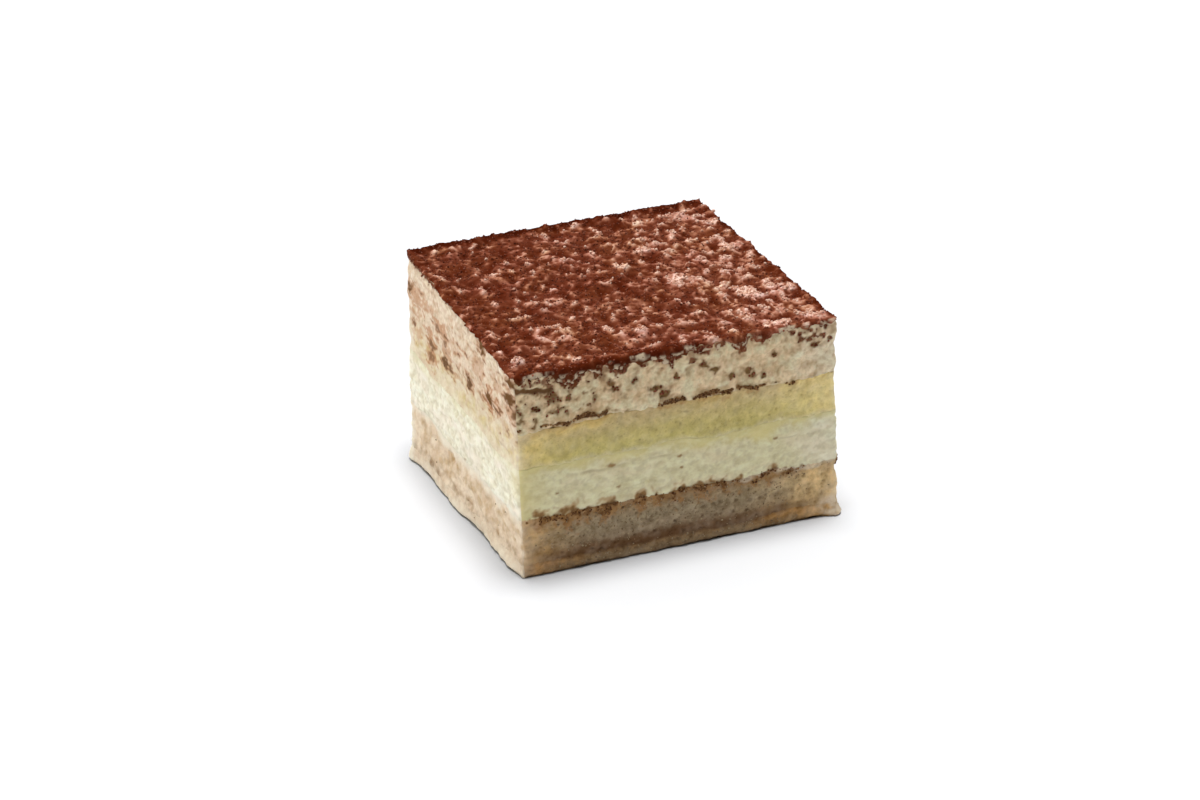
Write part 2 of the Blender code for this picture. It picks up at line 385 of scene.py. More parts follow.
def calculate(finish, operation, first, second):
    made = addNode(finish, "ShaderNodeMath", operation=operation)
    feed(finish, first, made.inputs[0])
    feed(finish, second, made.inputs[1])
    return made.outputs[0]


def shaken(finish, paint, amount, size, detail=3.0, roughness=0.55):  # what is painted, made uneven
    swing = calculate(finish, "SUBTRACT", grainOf(finish, size, detail, roughness), 0.5)
    return calculate(finish, "ADD", paintOf(finish, paint), calculate(finish, "MULTIPLY", swing, amount))


def blendColours(finish, amount, first, second, how="MIX"):
    made = addNode(finish, "ShaderNodeMix", data_type="RGBA", blend_type=how)
    feed(finish, amount, made.inputs[0])
    feed(finish, first, made.inputs[6])
    feed(finish, second, made.inputs[7])
    return made.outputs[2]


def tinted(finish, colour, tint):
    return blendColours(finish, 1.0, colour, tint, "MULTIPLY")


def coated(finish, colour, *coats):  # coats of colour over another, each where its paint is
    for paint, strength, coat in coats:
        amount = calculate(finish, "MULTIPLY", paintOf(finish, paint), strength)
        colour = blendColours(finish, amount, colour, coat)
    return colour


def dryWhere(finish, *paints):  # powder and crumbs have no sheen and no glow
    dry = paintOf(finish, paints[0])
    for paint in paints[1:]:
        dry = calculate(finish, "MAXIMUM", dry, paintOf(finish, paint))
    moist = calculate(finish, "SUBTRACT", 1.0, dry)
    for name in ("Specular IOR Level", "Subsurface Weight"):
        target = shaderOf(finish).inputs[name]
        feed(finish, calculate(finish, "MULTIPLY", moist, target.default_value), target)


def rampOf(finish, value, stops):
    made = addNode(finish, "ShaderNodeValToRGB")
    elements = made.color_ramp.elements
    while len(elements) < len(stops):
        elements.new(0.5)
    for element, (position, colour) in zip(elements, stops):
        element.position = position
        element.color = (*colour, 1.0)
    feed(finish, value, made.inputs["Fac"])
    return made.outputs["Color"]


def complete(finish, colour, bump=None):  # bump: size, roughness and depth of the finest grain
    shader = shaderOf(finish)
    feed(finish, colour, shader.inputs["Base Color"])
    if bump:
        size, roughness, depth = bump
        raised = addNode(finish, "ShaderNodeBump")
        raised.inputs["Distance"].default_value = depth
        feed(finish, grainOf(finish, size, 4.0, roughness), raised.inputs["Height"])
        feed(finish, raised.outputs["Normal"], shader.inputs["Normal"])
    return finish


# How much cream the knife has wiped over the crumb of each cut
wipe = {
    "front": 0.04,
    "right": 0.16,
    "back": 0.32,
    "left": 0.80,
    "streak": 0.52,
    "lean": (-0.10, 0.09),
    "size": 0.0016,
    "stretch": 2.6,
    "fineSizes": (0.0018, 0.0007),
    "cornerAmount": 0.62,  # beside the upright edge at the front left
    "cornerWidth": 0.0021,
    "endAmount": 0.45,  # beside the one at the front right
    "endWidth": 0.0010,
    "jointAmount": 0.55,  # on the left cut, just under a joint
    "jointWidth": 0.0030,
    "footAmount": 0.12,
    "footFade": (0.0045, 0.0025),
    "lastCorner": (1.4, 0.0015, 0.0034),  # pale bits at the front right foot: amount, height and reach
}


def wiped(spot):
    stroke = leaning(spot.at, wipe["lean"])
    streak = 0.7 * streaks(stroke, wipe["size"] * wipe["stretch"], wipe["size"], 21.0)
    streak += frayed(stroke, *wipe["fineSizes"], 0.4, 22.0)
    amount = wipe[spot.side] + wipe["streak"] * streak * (0.25 + wipe[spot.side])
    if spot.side == "left":
        amount += wipe["jointAmount"] * smoothStep(wipe["jointWidth"], 0.0, spot.toRoof)
        amount += wipe["footAmount"] * smoothStep(*wipe["footFade"], spot.z)
    elif spot.side == "front":
        amount += wipe["cornerAmount"] * exp(-spot.fromLeft / wipe["cornerWidth"])
        amount += wipe["endAmount"] * exp(-spot.fromRight / wipe["endWidth"])
    atCorner, height, reach = wipe["lastCorner"]
    toCorner = (Vector(spot.at) - Vector((*foot["corner"], height))).length
    amount += atCorner * bell(toCorner, reach) * (0.8 + 1.5 * streak)
    return min(max(amount, 0.0), 1.0)


# The brown crust of each sponge sheet: a broken line of crumbs that wanders along the joint
crusts = {
    "upper": {
        "offset": (0.0013, -0.0002),  # above the joint, at the left and the right end of the front cut
        "wander": 0.00100,
        "wanderSize": 0.0045,
        "width": 0.00056,
        "haloWidth": 2.6,
        "soft": 0.85,
        "grain": 0.80,
        "breakSize": 0.0058,
        "crumbSize": 0.0013,
        "seed": 61.0,
        "dark": (0.115, 0.050, 0.017),
        "halo": (0.46, 0.245, 0.080),
        # where it shows on the front cut: from, to and how strongly
        "stretches": (
            (-0.0010, 0.0035, 0.45), (0.0030, 0.0070, 0.70), (0.0072, 0.0200, 1.00),
            (0.0300, 0.0365, 0.85), (0.0380, 0.0465, 0.95), (0.0475, 0.0530, 0.85),
            (0.0535, 0.0565, 0.60), (0.0590, 0.0612, 0.55), (0.0640, 0.0672, 0.60),
        ),
        "sides": {"right": 0.32, "back": 0.20, "left": -0.60},
    },
    "lower": {
        "offset": (-0.0002, -0.0009),
        "wander": 0.00055,
        "wanderSize": 0.0030,
        "width": 0.00145,
        "haloWidth": 2.5,
        "soft": 0.85,
        "grain": 1.00,
        "breakSize": 0.0040,
        "crumbSize": 0.0017,
        "seed": 71.0,
        "dark": (0.135, 0.062, 0.022),
        "halo": (0.36, 0.168, 0.052),
        "stretches": (
            (0.0025, 0.0065, 0.85), (0.0070, 0.0130, 1.00), (0.0135, 0.0150, 0.80), (0.0160, 0.0210, 1.00),
            (0.0245, 0.0272, 0.95), (0.0280, 0.0312, 0.75), (0.0325, 0.0362, 0.80), (0.0375, 0.0430, 0.85),
            (0.0435, 0.0455, 0.65), (0.0470, 0.0490, 0.45), (0.0500, 0.0565, 0.64), (0.0580, 0.0660, 0.27),
        ),
        "sides": {"right": 0.30, "back": 0.15, "left": -0.75},
    },
}
crustHeight = 0.00014
seam = {"width": 0.0009, "sizes": (0.0016, 0.0007)}


def stretchAt(stretches, place, soft=0.0009):  # how strongly the stretch at this place shows
    return max(strength * within(start, end, soft, place) for start, end, strength in stretches)


def crumbLine(kind, spot, joint, wider=1.0):
    crust = crusts[kind]
    left, right = crust["offset"]
    across = spot.z - joint - left - (right - left) * spot.fromLeft / (2.0 * halfWidth)
    across -= crust["wander"] * lumps(spot.flat, crust["wanderSize"], crust["seed"])
    broken = lumps(spot.flat, crust["breakSize"], crust["seed"] + 1.0)
    grain = frayed(spot.at, crust["crumbSize"], crust["crumbSize"] / 2.3, 0.6, crust["seed"] + 2.0)
    if spot.side == "front":
        amount = -0.25 + 1.1 * stretchAt(crust["stretches"], spot.fromLeft) + 0.25 * broken
    else:
        amount = crust["sides"][spot.side] + 0.9 * broken
    amount += crust["grain"] * grain - 0.55 * (across / (crust["width"] * wider)) ** 2
    return smoothStep(0.0, crust["soft"], amount)


def seamAt(spot, joint):  # faint brown all along a joint
    broken = smoothStep(-0.25, 0.45, frayed(spot.at, *seam["sizes"], 0.6, 36.0))
    return 0.7 * bell(spot.z - joint, seam["width"]) * broken


def crustColour(finish, kind):  # dark brown crumbs among orange-brown ones
    crumbs = patches(finish, 0.0016, 0.40, 0.62)
    return blendColours(finish, crumbs, crusts[kind]["dark"], (0.30, 0.155, 0.055))


# Coffee and crumb that the knife has wiped over the upper half of the left cut
smears = {
    "shift": (0.0019, 0.0013),  # they all lie this much nearer to the front and to the top
    "brown": (0.50, 0.235, 0.105),
    "dark": (0.155, 0.075, 0.030),
    "streakSizes": ((0.0034, 0.0013), (0.0013, 0.0008), (0.0006, 0.0005)),  # length and height
    "belt": 0.22,  # they lie round this share of the height from the top
    "beltWidth": (0.165, 0.05),  # at the front, and how much wider it is at the back
    # from the back edge, share of the height from the top, half length, half height, and how strong
    "blots": (
        (0.0040, 0.180, 0.0050, 0.0028, 0.80), (0.0120, 0.155, 0.0036, 0.0018, 0.70),
        (0.0190, 0.195, 0.0052, 0.0018, 0.85), (0.0125, 0.340, 0.0030, 0.0042, 0.90),
        (0.0215, 0.290, 0.0036, 0.0042, 0.75), (0.0270, 0.215, 0.0042, 0.0020, 0.50),
        (0.0350, 0.290, 0.0030, 0.0022, 0.80), (0.0410, 0.190, 0.0036, 0.0036, 0.60),
        (0.0435, 0.060, 0.0026, 0.0022, 0.75), (0.0480, 0.270, 0.0042, 0.0030, 1.00),
        (0.0515, 0.155, 0.0036, 0.0024, 0.60), (0.0585, 0.120, 0.0024, 0.0050, 0.65),
        (0.0585, 0.220, 0.0024, 0.0022, 0.75), (0.0100, 0.500, 0.0060, 0.0026, 0.35),
        (0.0015, 0.330, 0.0020, 0.0030, 0.50), (0.0310, 0.100, 0.0034, 0.0012, 0.40),
        (0.0550, 0.300, 0.0040, 0.0016, 0.40),
    ),
    "darkBlots": (
        (0.0209, 0.343, 0.0016, 0.0012, 1.0), (0.0240, 0.347, 0.0014, 0.0009, 0.9),
        (0.0215, 0.248, 0.0012, 0.0009, 0.7), (0.0435, 0.050, 0.0014, 0.0021, 1.0),
        (0.0350, 0.304, 0.0016, 0.0013, 1.0), (0.0475, 0.268, 0.0022, 0.0013, 1.0),
        (0.0500, 0.289, 0.0014, 0.0010, 0.9), (0.0598, 0.075, 0.0019, 0.0010, 1.0),
        (0.0585, 0.160, 0.0020, 0.0012, 1.0), (0.0606, 0.225, 0.0009, 0.0008, 0.9),
        (0.0004, 0.160, 0.0013, 0.0011, 1.0), (0.0125, 0.340, 0.0015, 0.0011, 0.8),
        (0.0120, 0.395, 0.0015, 0.0010, 0.7), (0.0172, 0.209, 0.0015, 0.0008, 0.7),
        (0.0016, 0.328, 0.0011, 0.0008, 0.8),
    ),
}
aroundDark = [  # each dark spot lies in a wider brown one
    (place, share, 2.1 * length, 1.9 * height, 0.85)
    for place, share, length, height, depth in smears["darkBlots"]
]


def blotsAt(blots, along, below, fray, soft=0.50):  # frayed blots, where they are placed
    most = 0.0
    for place, share, length, height, depth in blots:
        ahead, across = along - place, below - share * tall
        if abs(ahead) < 2.0 * length and abs(across) < 2.0 * height:
            near = exp(-0.6 * ((ahead / length) ** 2 + (across / height) ** 2))
            most = max(most, depth * smoothStep(0.55 - 0.5 * soft, 0.55 + 0.5 * soft, near + fray))
    return most


def smearAt(spot):  # the brown of the smears and their darkest spots
    if spot.side not in ("left", "back"):
        return 0.0, 0.0
    along, below, seed = spot.fromLeft, spot.below, 48.0
    if spot.side == "left":
        along, below, seed = spot.fromBack - smears["shift"][0], below + smears["shift"][1], 18.0
    streak, fine, finer = (
        noise.noise(Vector((along / length, below / height, seed + octave)))
        for octave, (length, height) in enumerate(smears["streakSizes"])
    )
    fine += 0.5 * finer
    width, wider = smears["beltWidth"]
    belt = bell(below / tall - smears["belt"], width + wider * spot.toBack)
    brown = belt * (0.24 + 0.60 * smoothStep(-0.10, 0.50, streak + 0.6 * fine))
    uneven = 0.8 * streak + 0.5 * fine
    if spot.side == "back":
        return brown, 0.9 * belt * smoothStep(0.34, 0.60, uneven)
    brown = max(
        brown,
        blotsAt(smears["blots"], along, below, 0.55 * streak + 0.55 * fine),
        blotsAt(aroundDark, along, below, 0.50 * fine + 0.35 * streak, 0.85),
    )
    spots = 0.80 * belt * smoothStep(0.40, 0.70, uneven + 0.15 * (1.0 - 2.0 * spot.toBack))
    return brown, max(spots, blotsAt(smears["darkBlots"], along, below, 0.60 * fine + 0.25 * streak, 0.65))


# Sponge: an open crumb with holes of two sizes
spongeLooks = {
    "baseSponge": {
        "holes": ((0.0014, 0.420, 0.00018), (0.0007, 0.476, 0.00009)),  # size, reach and depth
        "grain": 0.00010,
        "mottle": ((0.64, 0.60, 0.54), (1.32, 1.30, 1.26)),
        "bands": (
            (0.00, (0.22, 0.13, 0.066)), (0.45, (0.295, 0.198, 0.104)),
            (0.80, (0.27, 0.165, 0.077)), (1.00, (0.155, 0.083, 0.039)),
        ),
        "leftEnd": (0.53, 0.26, 0.072),
        "rightEnd": (0.70, 0.405, 0.150),
        # where it is rusty under its top on the front cut: from, to and how strongly
        "rust": ((0.0020, 0.0080, 0.9), (0.0100, 0.0140, 0.4), (0.0520, 0.0660, 0.7)),
        "wiped": (0.86, 0.74, 0.56),
        "wipeShare": 0.85,
    },
    "coffeeSponge": {
        "crust": "lower",
        "holes": ((0.0017, 0.462, 0.00030), (0.0008, 0.504, 0.00013)),
        "grain": 0.00012,
        "mottle": ((0.70, 0.66, 0.60), (1.26, 1.26, 1.26)),
        "bands": (
            (0.00, (0.16, 0.085, 0.042)), (0.13, (0.20, 0.115, 0.060)), (0.26, (0.31, 0.225, 0.137)),
            (0.55, (0.34, 0.265, 0.160)), (0.80, (0.33, 0.235, 0.130)), (1.00, (0.25, 0.150, 0.070)),
        ),
        "leftEnd": (0.60, 0.345, 0.115),
        "rightEnd": (0.95, 0.66, 0.31),
        "rust": (
            (0.0015, 0.0130, 0.95), (0.0155, 0.0215, 0.70), (0.0240, 0.0330, 0.35), (0.0490, 0.0580, 0.40),
        ),
        "wiped": (0.86, 0.72, 0.54),
        "wipeShare": 0.92,
    },
    "yellowSponge": {
        "crust": "upper",
        "holes": ((0.0013, 0.336, 0.00016), (0.0006, 0.420, 0.00008)),
        "grain": 0.00009,
        "mottle": ((0.80, 0.78, 0.74), (1.15, 1.15, 1.18)),
        "bands": (
            (0.00, (0.66, 0.58, 0.24)), (0.10, (0.62, 0.53, 0.185)), (0.45, (0.63, 0.52, 0.20)),
            (0.75, (0.64, 0.50, 0.235)), (1.00, (0.60, 0.44, 0.21)),
        ),
        "leftEnd": (0.88, 0.670, 0.235),
        "rightEnd": (1.00, 0.81, 0.35),
        "rust": ((0.0015, 0.0200, 0.9), (0.0370, 0.0470, 0.5), (0.0590, 0.0680, 0.6)),
        "wiped": (0.88, 0.80, 0.61),
        "wipeShare": 0.9,
    },
}
spongeSpacing, spongeGrain = 0.00021, 0.0006
endWarmth = {"leftEnd": 0.0066, "rightEnd": 0.0105}  # the tan fades in from the ends of the front cut
# pale bands of the left cut, each fading out from where it lies
paleBands = {"backEdge": (0.0050, 0.0016), "foot": (0.0030, 0.0008), "coffeeTop": (0.0030, 0.0002)}


def paintLeftCut(name, spot, values):  # pale along the back edge, the foot and the coffee sponge's top
    values["leftEnd"] = 0.65
    if name == "yellowSponge":
        values["leftEnd"] = 0.2 + 0.5 * smoothStep(0.0090, 0.0, spot.fromFront)
    uneven = 0.0022 * lumps(spot.at, 0.0050, 38.0) + 0.0008 * lumps(spot.at, 0.0013, 39.0)
    values["pale"] = max(
        smoothStep(*paleBands["backEdge"], spot.fromBack + uneven),
        0.6 * smoothStep(*paleBands["foot"], spot.z + 0.5 * uneven),
    )
    if name == "coffeeSponge":
        underRoof = smoothStep(*paleBands["coffeeTop"], spot.toRoof + 1.2 * uneven)
        values["pale"] = max(values["pale"], underRoof)


def paintEnds(look, spot, under, values):  # the tan of both ends, and rust under the sponge's top
    uneven = 1.0 + 0.8 * lumps(spot.at, 0.0035, 33.0)
    fromRight = spot.fromRight if spot.side == "front" else spot.fromFront
    for end, away in (("leftEnd", spot.fromLeft), ("rightEnd", fromRight)):
        values[end] = min(uneven * exp(-((away / endWarmth[end]) ** 1.5)), 1.0)
    values["hole"] *= 1.0 - 0.6 * values["rightEnd"]
    ends = max(values["leftEnd"], values["rightEnd"])
    if spot.side == "front":
        rust = stretchAt(look["rust"], spot.fromLeft, 0.003) * smoothStep(0.0030, 0.0006, under)
        values["leftEnd"] = max(values["leftEnd"], rust)
    return ends


def finishSponge(name, spot):
    look = spongeLooks[name]
    wipedHere = wiped(spot)
    if name == "yellowSponge" and spot.side == "left":
        wipedHere = max(wipedHere, smoothStep(0.55, 0.05, spot.share))
    openness = 1.0 - 0.85 * wipedHere
    push = look["grain"] * lumps(spot.at, spongeGrain, 31.0)
    hole = ends = 0.0
    for size, reach, depth in look["holes"]:
        here = holes((spot.x, spot.y, spot.z * 1.25), size, reach)
        push -= depth * here * openness
        hole = max(hole, here)
    # the holes are painted darker as shade, less where cream is wiped over them and on the left cut
    values = {"hole": hole * openness * (0.30 if spot.side == "left" else 1.0), "wiped": wipedHere}
    under = spot.toRoof + 0.0012 * lumps(spot.at, 0.0022, 34.0)
    if spot.side == "left":
        paintLeftCut(name, spot, values)
    elif spot.side != "back":
        ends = paintEnds(look, spot, under, values)
    if name == "baseSponge":
        values["soaked"] = 0.8 * smoothStep(0.72, 1.0, spot.share) * (1.0 - 0.65 * ends)
        return push - foot["rounding"] * smoothStep(0.25, 0.0, spot.share), values
    values["crust"] = crumbLine(look["crust"], spot, spot.high)
    halo = crumbLine(look["crust"], spot, spot.high, crusts[look["crust"]]["haloWidth"])
    band = 0.0
    if name == "yellowSponge":
        if spot.side == "front":
            band = 0.55 * smoothStep(0.0020, 0.0002, under) * smoothStep(0.0225, 0.0150, spot.fromLeft)
            band *= smoothStep(0.0004, 0.0020, spot.fromLeft)
        band = max(band, seamAt(spot, spot.high))
        values["brown"], values["smearDark"] = smearAt(spot)
        toMousse = spot.toBed + 0.0006 * lumps(spot.at, 0.0020, 56.0)
        values["wiped"] = max(values["wiped"], 0.42 * smoothStep(0.0015, -0.0003, toMousse))
    else:
        if spot.side == "front":
            band = bell(under - 0.0008, 0.0011) * smoothStep(0.0660, 0.0600, spot.fromLeft)
            band *= smoothStep(0.0005, 0.0040, spot.fromLeft)
            band *= 0.45 + 0.45 * stretchAt(crusts["lower"]["stretches"], spot.fromLeft)
            pale = smoothStep(0.0013, 0.0003, under) * smoothStep(0.0430, 0.0490, spot.fromLeft)
            values["pale"] = 0.55 * pale
        values["soaked"] = smoothStep(0.30, 0.06, spot.share + 0.05 * lumps(spot.flat, 0.004, 35.0))
        values["soaked"] *= 1.0 - 0.65 * ends
    values["halo"] = max(halo, band)
    return push + crustHeight * values["crust"], values


def makeSponge(name):
    paints = ["hole", "wiped", "leftEnd", "rightEnd", "pale", "crust", "halo", "soaked"]
    if name == "yellowSponge":
        paints += ["brown", "smearDark"]
    return makeLayer(name, spongeSpacing, lambda spot: finishSponge(name, spot), paints)


def spongeFinish(name):
    look = spongeLooks[name]
    finish = newFinish(name, roughness=0.90, specular=0.18, glow=0.10, glowDepth=0.0010)
    dryWhere(finish, "crust", "soaked")
    colour = rampOf(finish, shaken(finish, "share", 0.26, 0.0022), look["bands"])
    colour = coated(finish, colour, ("leftEnd", 0.85, look["leftEnd"]), ("rightEnd", 0.85, look["rightEnd"]))
    darker, lighter = look["mottle"]
    mottle = patches(finish, 0.0019, 0.34, 0.68, detail=5.0, roughness=0.62)
    shades = rampOf(finish, mottle, ((0.0, darker), (0.5, (0.99, 0.99, 0.99)), (1.0, lighter)))
    colour = coated(finish, tinted(finish, colour, shades), ("soaked", 0.62, (0.135, 0.066, 0.028)))
    # painted shade in the sponge's holes
    colour = coated(finish, colour, ("hole", 0.50, tinted(finish, colour, (0.50, 0.41, 0.31))))
    if "crust" in look:
        colour = coated(finish, colour, ("halo", 0.70, crusts[look["crust"]]["halo"]))
    browner = blendColours(finish, 0.38, look["wiped"], (0.50, 0.29, 0.15))
    uneven = patches(finish, 0.0024, 0.38, 0.60, detail=5.0, roughness=0.68)
    smeared = blendColours(finish, uneven, browner, look["wiped"])
    colour = coated(finish, colour, ("wiped", look["wipeShare"], smeared), ("pale", 0.75, (0.88, 0.81, 0.65)))
    if name == "yellowSponge":
        colour = coated(finish, colour, ("brown", 0.95, smears["brown"]), ("smearDark", 0.98, smears["dark"]))
    if "crust" in look:
        colour = coated(finish, colour, ("crust", 0.82, crustColour(finish, look["crust"])))
    return complete(finish, colour, bump=(0.0005, 0.70, 0.00022))


# where the painted shade of the front cut fades out: towards its right end, and round its corner on the right
# cut
frontCutShade = {"lessFrom": (0.0560, 0.0680), "roundCorner": 0.15}


def shadeAt(spot):  # painted shade: the cream is painted greyer on the front cut, which gets less light, and just round its corner
    if spot.side == "right":
        return 0.20 + 0.80 * exp(-spot.toBack / frontCutShade["roundCorner"])
    return 1.0 - 0.5 * smoothStep(*frontCutShade["lessFrom"], spot.fromLeft) if spot.side == "front" else 0.0


# White mousse between the two sponges
filling = {
    "spacing": 0.00025,
    "drag": 0.00016,
    "dragLean": (-0.14, 0.09),
    "dragSize": 0.0012,
    "dragStretch": 6.0,
    "fineDrag": (0.004, 0.0006),  # length and width
    "bubbleSize": 0.0036,
    "bubbleReach": 0.15,
    "bubbleDepth": 0.00024,
    "curdSizes": (0.0013, 0.0006),
    "curdDepth": 0.00010,
    # crumbs that the knife has dragged into the front cut: from the left, share from the top, size
    "crumbs": (
        (0.0198, 0.52, 0.00085), (0.0347, 0.54, 0.00050), (0.0213, 0.63, 0.00045), (0.0350, 0.60, 0.00035),
        (0.0080, 0.60, 0.00035), (0.0560, 0.55, 0.00035),
    ),
    # fine lines drawn by the knife, set in and painted dark as shade: from, to, share from the top
    "lines": ((0.0140, 0.0225, 0.528), (0.0275, 0.0330, 0.522), (0.0560, 0.0610, 0.555)),
    # the sponge's yellow reaches down into the mousse: place, how far, and how wide
    "tints": (
        (0.0000, 0.0026, 0.0040), (0.0330, 0.0016, 0.0060),
        (0.0535, 0.0040, 0.0034), (0.0450, 0.0010, 0.0030),
    ),
    "tintDepth": 0.0011,
    # it is yellow beside the front left corner too: how far along the front cut, over which stretch it
    # fades along the left cut, and over which it fades downwards there
    "cornerTint": 0.0042,
    "edgeTint": (0.0070, 0.0005),
    "edgeTintDepth": (0.0085, 0.0030),
    "lineEdge": (0.00035, 0.0001),
}


def finishFilling(spot):
    stroke = leaning(spot.at, filling["dragLean"])
    drag = streaks(stroke, filling["dragSize"] * filling["dragStretch"], filling["dragSize"], 44.0)
    drag += 0.5 * streaks(stroke, *filling["fineDrag"], 45.0)
    bubble = holes(spot.at, filling["bubbleSize"], filling["bubbleReach"], 3.0)
    curd = frayed(spot.at, *filling["curdSizes"], 0.6, 46.0)
    push = filling["drag"] * drag - filling["bubbleDepth"] * bubble + filling["curdDepth"] * curd
    depth = filling["tintDepth"]
    crumb = line = 0.0
    if spot.side == "front":
        fray = 0.0003 * lumps(spot.at, 0.0006, 8.0)
        for place, share, size in filling["crumbs"]:
            away = ((spot.fromLeft - place) / 1.5) ** 2 + (spot.below - share * tall) ** 2
            crumb = max(crumb, smoothStep(size, size * 0.3, away ** 0.5 + fray))
        for start, end, share in filling["lines"]:
            offLine = abs(spot.below - share * tall + 0.0004 * lumps(spot.flat, 0.003, 9.0))
            drawn = within(start, end, 0.001, spot.fromLeft) * smoothStep(*filling["lineEdge"], offLine)
            line = max(line, drawn)
        for place, reach, width in filling["tints"]:
            depth = max(depth, reach * bell(spot.fromLeft - place, width))
    fromSponge = spot.toRoof + 0.0018 * lumps(spot.at, 0.0040, 48.0)
    yellow = smoothStep(depth + 0.0018, depth - 0.0016, fromSponge + 0.0009 * curd)
    if spot.side == "front":
        yellow = max(yellow, 0.85 * exp(-((spot.fromLeft / filling["cornerTint"]) ** 1.5)))
    elif spot.side == "left":
        atEdge = smoothStep(*filling["edgeTint"], spot.fromFront + 0.0015 * curd)
        yellow = max(0.35 * yellow, 0.50 * atEdge * smoothStep(*filling["edgeTintDepth"], fromSponge))
    wider = 1.25 + 0.55 * smoothStep(0.0500, 0.0250, spot.fromLeft)
    return push - 0.00012 * line, {
        "crumb": crumb,
        "crust": crumbLine("lower", spot, spot.low),
        "halo": crumbLine("lower", spot, spot.low, wider),
        "yellow": yellow,
        # painted shade in the hollows of the curd and in the knife's lines
        "hollow": max(0.7 * smoothStep(0.10, -0.55, curd + 0.25 * drag), 0.9 * line),
        "shade": shadeAt(spot),
    }


def makeFilling(name):
    return makeLayer(name, filling["spacing"], finishFilling,
                     ("crumb", "crust", "yellow", "hollow", "halo", "shade"))


def fillingFinish(name):
    finish = newFinish(name, roughness=0.60, specular=0.30, glow=0.20, glowDepth=0.0016)
    dryWhere(finish, "crumb", "crust")
    curds = patches(finish, 0.0019, 0.34, 0.66, detail=5.0, roughness=0.62, stretch=(1.5, 1.5, 1.0))
    colour = rampOf(finish, curds, (
        (0.0, (0.72, 0.65, 0.47)), (0.5, (0.84, 0.79, 0.61)), (1.0, (0.93, 0.91, 0.74)),
    ))
    pinks = patches(finish, 0.0042, 0.48, 0.66, stretch=(2.0, 2.0, 1.0))
    colour = blendColours(finish, calculate(finish, "MULTIPLY", pinks, 0.55), colour, (0.90, 0.79, 0.66))
    return complete(finish, coated(
        finish, colour,
        # painted shade: the front cut is tinted darker and greener, as it gets less light
        ("shade", 1.0, tinted(finish, colour, (0.87, 0.85, 0.68))),
        # painted shade in the curd's hollows and the knife lines
        ("hollow", 0.60, (0.52, 0.45, 0.28)),
        ("yellow", 0.72, (0.70, 0.595, 0.225)),
        ("halo", 0.74, (0.42, 0.235, 0.092)),
        ("crumb", 0.85, (0.27, 0.145, 0.055)),
        ("crust", 0.82, crustColour(finish, "lower")),
    ), bump=(0.0007, 0.65, 0.00016))


# Cream under the cocoa. It is rough on the front, where specks of cocoa lie in its hollows.
topping = {
    "spacing": 0.00021,
    "lumpSize": 0.0018,
    "lumpDepth": 0.00026,
    "roughness": {"front": 1.0, "right": 0.75, "back": 0.6, "left": 0.45},
    "fringe": {"front": 0.0003, "right": 0.0005, "back": 0.0005, "left": 0.0000},
    "ragged": {"front": 0.0010, "right": 0.0010, "back": 0.0009, "left": 0.0003},
    "clusterSize": 0.0050,
    "fleckSizes": (0.0014, 0.0006),
    "moreToLeft": (0.030, 0.008),  # there are more flecks towards the left
    "moreBelowTop": (0.0095, 0.0010),  # and close under the cocoa
    "dottedFrom": (0.0593, 0.0617),  # right of here only dots of cocoa have come down
    "spillClump": 0.0011,
    "spillSoft": 0.0015,
    # clumps of cocoa that have come down the front cut: place along it, how far down, and how wide
    "spills": (
        (0.0010, 0.0020, 0.0016), (0.0118, 0.0056, 0.0034), (0.0172, 0.0040, 0.0020),
        (0.0222, 0.0044, 0.0026), (0.0275, 0.0030, 0.0022), (0.0330, 0.0044, 0.0038),
        (0.0405, 0.0036, 0.0030), (0.0440, 0.0028, 0.0022), (0.0485, 0.0046, 0.0024),
        (0.0530, 0.0032, 0.0028), (0.0628, 0.0044, 0.0022), (0.0658, 0.0058, 0.0026),
    ),
    # blotches of cocoa lower down: place, share of the height from the top, and size
    "blotches": (
        (0.0040, 0.170, 0.0009), (0.0115, 0.150, 0.0007), (0.0210, 0.155, 0.0009), (0.0205, 0.115, 0.0008),
        (0.0300, 0.190, 0.0010), (0.0318, 0.225, 0.0012), (0.0345, 0.150, 0.0008), (0.0405, 0.120, 0.0010),
        (0.0430, 0.150, 0.0009), (0.0465, 0.200, 0.0008), (0.0500, 0.190, 0.0009), (0.0515, 0.215, 0.0007),
        (0.0650, 0.120, 0.0010), (0.0535, 0.230, 0.0008), (0.0080, 0.120, 0.0007), (0.0155, 0.200, 0.0006),
        (0.0255, 0.130, 0.0006), (0.0380, 0.090, 0.0008), (0.0560, 0.140, 0.0006), (0.0620, 0.090, 0.0009),
        (0.0600, 0.045, 0.0007), (0.0638, 0.098, 0.0006), (0.0644, 0.055, 0.0006), (0.0664, 0.080, 0.0006),
        (0.0676, 0.050, 0.0006), (0.0682, 0.105, 0.0006), (0.0618, 0.062, 0.0005), (0.0275, 0.060, 0.0007),
    ),
    # bare cream along the front edge: from, to and how bare
    "bare": (
        (0.0020, 0.0085, 0.7), (0.0245, 0.0295, 0.6), (0.0365, 0.0385, 0.5), (0.0570, 0.0610, 1.0),
        (0.0500, 0.0530, 0.5), (0.0625, 0.0645, 0.6), (0.0665, 0.0710, 0.8),
    ),
    # a gap under the cocoa near the front left corner, set in and painted dark as its shadow: from, to, depth
    # and how much deeper it ends
    "shadowGap": (0.0000, 0.0078, 0.0034, 0.0012),
    "shadowGapEdge": (0.00085, 0.00040),
}
solidBlotches, dustBlotches = (  # thin powder lies round each solid blotch
    [(place, share, 1.2 * wider * size, wider * size, 1.0) for place, share, size in topping["blotches"]]
    for wider in (0.85, 1.6)
)


def spillDepth(side, fromLeft):  # how far down the cut the clumps of cocoa come here
    depth = topping["fringe"][side]
    if side == "front":
        for place, reach, width in topping["spills"]:
            depth = max(depth, reach * bell(fromLeft - place, width))
    return depth


def dottedAt(fromLeft):
    return smoothStep(*topping["dottedFrom"], fromLeft)


